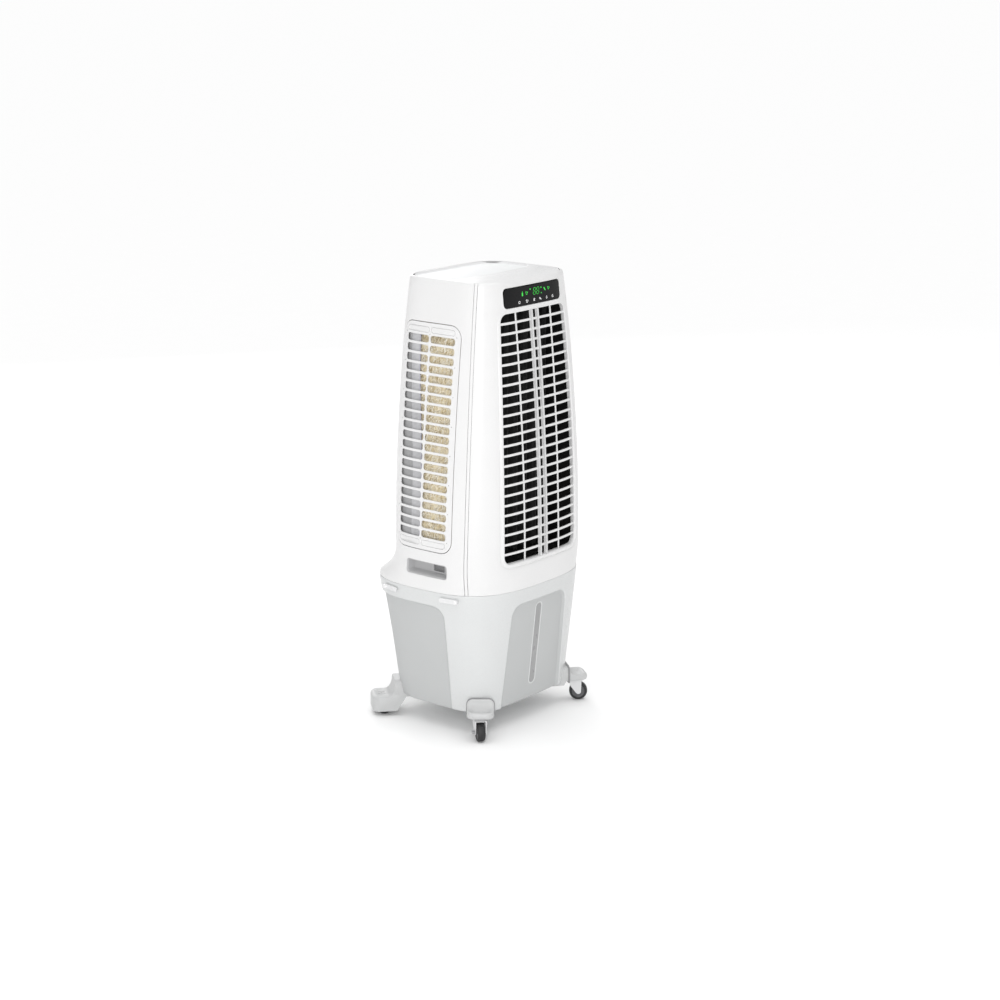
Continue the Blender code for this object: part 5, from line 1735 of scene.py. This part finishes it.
def make_brackets():
    """Corner brackets that hug the tank's lower corners and carry the casters."""
    stations = [trim - BRACKET_HALF_WIDTH for trim in FOOT_STATIONS]
    stations = stations + [0.0] + [-place for place in reversed(stations)]
    for end, side_y in (("front", -1), ("rear", 1)):
        for name, side_x in SIDES:
            place = bracket_frame(side_x, side_y)
            rings = []
            for across in stations:
                flare = REAR_FOOT_FLARE if side_y > 0 and across * side_x > 0 else 1.0
                ring = bracket_ring(across, side_y < 0)
                rings.append([place @ Vector((u, v, across * flare)) for u, v in ring])
            skin = Skin()
            skin.tube(rings)
            foot = skin.build("foot_%s_%s" % (end, name), "bracket", 50.0)
            if side_y > 0:
                centre = Vector((side_x * REAR_WHEEL.x, REAR_WHEEL.y, REAR_WHEEL.z))
                cutter = Skin()
                turned(cutter, WHEEL_WELL, 48, facing((1.0, 0.0, 0.0), centre))
                cut(foot, cutter.build("wheel_cutter", "bracket"))
                make_foot_ridges(place, name)
            else:
                # Front brackets get a dark plate round their upstand: painted shadow.
                make_foot_painted_shadow(place, name)
            settle(foot, "tank_unit", "tank_grey", "bracket_%s_%s" % (end, name))


# Size and place of the dark plate that is painted shadow round a front bracket's upstand.
FOOT_SHADOW_MARGIN = 0.0016
FOOT_SHADOW_Z = (0.0500, 0.1056)
FOOT_SHADOW_CORNER = 0.0165
FOOT_SHADOW_LOWEST_Z = 0.0600
FOOT_SHADOW_INNER_Z = 0.0700
FOOT_SHADOW_DEPTH = (0.0060, 0.0012)


def make_foot_painted_shadow(place, name):
    """Dark grey plate round the upstand of a front bracket, where it sits on the tank: painted shadow in
    place of the shade of a gap.
    """
    half = BRACKET_HALF_WIDTH + FOOT_SHADOW_MARGIN
    deep, shallow = FOOT_SHADOW_DEPTH
    rings = []
    for across, v in rounded_rectangle((-half, FOOT_SHADOW_Z[0]), (half, FOOT_SHADOW_Z[1]), FOOT_SHADOW_CORNER, 8):
        wall = FOOT_WALL - 0.115 * abs(across) ** 1.5
        outer = (max(v, FOOT_SHADOW_LOWEST_Z), across)
        inner = (FOOT_SHADOW_INNER_Z + (outer[0] - FOOT_SHADOW_INNER_Z) * 0.94, across * 0.955)
        corners = ((deep, outer), (shallow, outer), (shallow, inner), (deep, inner))
        rings.append([place @ Vector((wall - depth, *spot)) for depth, spot in corners])
    skin = Skin()
    skin.bands(rings + rings[:1], closed=True)
    settle(skin.build("foot_painted_shadow_" + name, "catch"), "tank_unit", "tank_grey")


RIDGE_PATHS = (((0.2900, -0.014), (0.2760, -0.002), (0.2640, -0.010)),
               ((0.2860, 0.012), (0.2740, 0.004), (0.2620, 0.014)))
RIDGE_LOW = 0.0522
RIDGE_SECTION = ((0.0, -0.0009), (0.0, 0.0009), (0.0022, 0.0006), (0.0022, -0.0006))


def make_foot_ridges(place, name):
    """Raised angled ridges in the dish of a rear bracket."""
    skin = Skin()
    for path in RIDGE_PATHS:
        skin.tube([[place @ Vector((u, RIDGE_LOW + up, across + wide)) for up, wide in RIDGE_SECTION]
                   for u, across in path])
    settle(skin.build("foot_ridges_" + name, "bracket"), "tank_unit", "tank_grey")


TYRE = ((0.0175, -0.0086), (0.0188, -0.0098), (0.0218, -0.0100), (0.0236, -0.0090), (0.0247, -0.0066),
        (0.0250, -0.0030), (0.0250, 0.0030), (0.0247, 0.0066), (0.0236, 0.0090), (0.0218, 0.0100),
        (0.0188, 0.0098), (0.0175, 0.0086))
HUB = ((0.0022, -0.0112), (0.0050, -0.0112), (0.0060, -0.0104), (0.0064, -0.0092), (0.0100, -0.0080),
       (0.0160, -0.0080), (0.0176, -0.0088), (0.0176, 0.0088), (0.0160, 0.0080), (0.0100, 0.0080),
       (0.0064, 0.0092), (0.0060, 0.0104), (0.0050, 0.0112), (0.0022, 0.0112))


def make_wheel(name, centre, axis, body, width=1.0):
    """Caster wheel: rubber tyre on a ribbed hub."""
    place = facing(axis, centre) @ Matrix.Diagonal((1.0, 1.0, width, 1.0))
    skin = Skin()
    rings = [[place @ Vector((u, v, height)) for u, v in circle(radius, 56)] for radius, height in TYRE]
    skin.bands(rings + rings[:1], closed=True)
    settle(skin.build("tyre_" + name, "rubber", 50.0), body, "tyre_black", name)
    skin = Skin()
    turned(skin, HUB, 40, place)
    for index in range(6):
        turn = Matrix.Rotation(math.pi * index / 3.0, 4, "Z")
        for face in (-1, 1):
            low, high = sorted((face * 0.0074, face * 0.0089))
            spoke = rounded_rectangle((0.0058, -0.0011), (0.0168, 0.0011), 0.0006, 1)
            prism(skin, spoke, low, high, place @ turn)
    settle(skin.build("hub_" + name, "hub", 40.0), body, "tyre_black")


def make_casters():
    """Wheels of the swivel casters in front and of the fixed ones behind."""
    for name, side in SIDES:
        turn = math.radians(SWIVEL_HEADING[name])
        heading = Vector((math.cos(turn), math.sin(turn), 0.0))
        axis = Vector((-heading.y, heading.x, 0.0))
        pivot = Vector((side * SWIVEL_PIVOT.x, SWIVEL_PIVOT.y, 0.0))
        centre = pivot + heading * TRAIL + Vector((0.0, 0.0, WHEEL_RADIUS))
        make_wheel("front_wheel_" + name, centre, axis, "front_wheel_%s_body" % name)
        hub = Vector((side * REAR_WHEEL.x, REAR_WHEEL.y, REAR_WHEEL.z))
        make_wheel("rear_wheel_" + name, hub, Vector((1.0, 0.0, 0.0)), "rear_wheel_%s_body" % name,
                   REAR_TYRE_SHARE)


# ---------------------------------------------------------------- kept CAD nodes

KEPT = (
    ("fork", "fork", 0.0006), ("brake_lever", "lever", 0.0005), ("air_duct", "black", 0.0005),
    ("fan_motor", "motor", 0.0008), ("fan_", "black", 0.0), ("swing_motor", "motor", 0.0008),
    ("swing_vane", "vane", 0.0), ("vane_link", "vane", 0.0002), ("base_deck", "white", 0.0006),
    ("power_inlet", "grip", 0.0005), ("drain_plug", "grip", 0.0010), ("water_pump", "black", 0.0015),
    ("riser_pipe", "grip", 0.0004), ("distributor_tray", "grip", 0.0008), ("level_float", "float", 0.0006),
    ("control_board", "board", 0.0002),
)


def dress_kept_nodes():
    """Give the CAD nodes that stay visible their materials and softened edges."""
    for name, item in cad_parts.items():
        if item.hide_render:
            continue
        for start, material, width in KEPT:
            if name.startswith(start):
                item.data.materials.clear()
                item.data.materials.append(MATERIALS[material])
                if width:
                    soften(item, width, 2, 40.0)
                break


# ---------------------------------------------------------------- stage

FLOOR_REACH = 150.0
SURROUND_STRENGTH = 0.56
OVERHEAD_STRENGTH = 1.48
OVERHEAD_DEGREES = 70.0
KEY_PLACE = (-3.35, -2.45, 1.60)
KEY_POWER = 62.0
BACK_PLACE = (2.6, 3.6, 2.4)
BACK_POWER = 45.0
CAMERA_PLACE = Vector((-4.52406, -3.65817, 2.06939))
CAMERA_TARGET = Vector((0.0, 0.0, 0.6))


def add_lamp(name, kind, place, energy):
    """Add a lamp aimed at the middle of the cooler."""
    data = bpy.data.lights.new(name, kind)
    data.energy = energy
    lamp = bpy.data.objects.new(name, data)
    lamp.location = place
    lamp.rotation_mode = "QUATERNION"
    lamp.rotation_quaternion = (CAMERA_TARGET - Vector(place)).to_track_quat("-Z", "Y")
    bpy.context.scene.collection.objects.link(lamp)
    return data


def make_stage():
    """Plain white floor, an even surround, a tall soft key lamp and overhead light."""
    reach = FLOOR_REACH
    mesh = bpy.data.meshes.new("floor")
    corners = [(-reach, -reach, 0.0), (reach, -reach, 0.0), (reach, reach, 0.0), (-reach, reach, 0.0)]
    mesh.from_pydata(corners, [], [(0, 1, 2, 3)])
    floor = bpy.data.objects.new("floor", mesh)
    bpy.context.scene.collection.objects.link(floor)
    mesh.materials.append(plastic("floor_white", (0.95, 0.95, 0.95), 0.90, 30.0, 0.0001, 0.003, 0.0))
    world = bpy.data.worlds.new("surround")
    bpy.context.scene.world = world
    world.use_nodes = True
    background = world.node_tree.nodes["Background"]
    background.inputs["Color"].default_value = (1.0, 1.0, 1.0, 1.0)
    background.inputs["Strength"].default_value = SURROUND_STRENGTH
    overhead = add_lamp("overhead", "SUN", (0.0, 0.0, 6.0), OVERHEAD_STRENGTH)
    overhead.angle = math.radians(OVERHEAD_DEGREES)
    key = add_lamp("key", "AREA", KEY_PLACE, KEY_POWER)
    key.shape = "RECTANGLE"
    key.size = 0.9
    key.size_y = 2.6
    back = add_lamp("back", "AREA", BACK_PLACE, BACK_POWER)
    back.shape = "DISK"
    back.size = 2.4
    bpy.context.scene.view_settings.view_transform = "Standard"


def make_camera():
    """Camera at the height and distance of a catalogue view."""
    data = bpy.data.cameras.new("camera")
    data.sensor_width = 36.0
    data.lens = 80.72
    data.shift_x = 0.01845
    data.shift_y = -0.00640
    camera = bpy.data.objects.new("camera", data)
    slide = Vector((0.0, SHIFT, 0.0))
    camera.location = CAMERA_PLACE + slide
    camera.rotation_mode = "QUATERNION"
    camera.rotation_quaternion = (CAMERA_TARGET - CAMERA_PLACE).to_track_quat("-Z", "Y")
    bpy.context.scene.collection.objects.link(camera)
    bpy.context.scene.camera = camera


def build():
    """Build every piece, then the stage."""
    make_front_cover()
    make_seam_strips()
    make_rear_housing()
    make_grips()
    make_intakes()
    make_grille()
    make_fins()
    make_lens()
    make_graphics()
    make_top_cover()
    make_tank()
    make_window()
    make_latches()
    make_brackets()
    make_casters()
    dress_kept_nodes()
    make_stage()
    make_camera()


build()
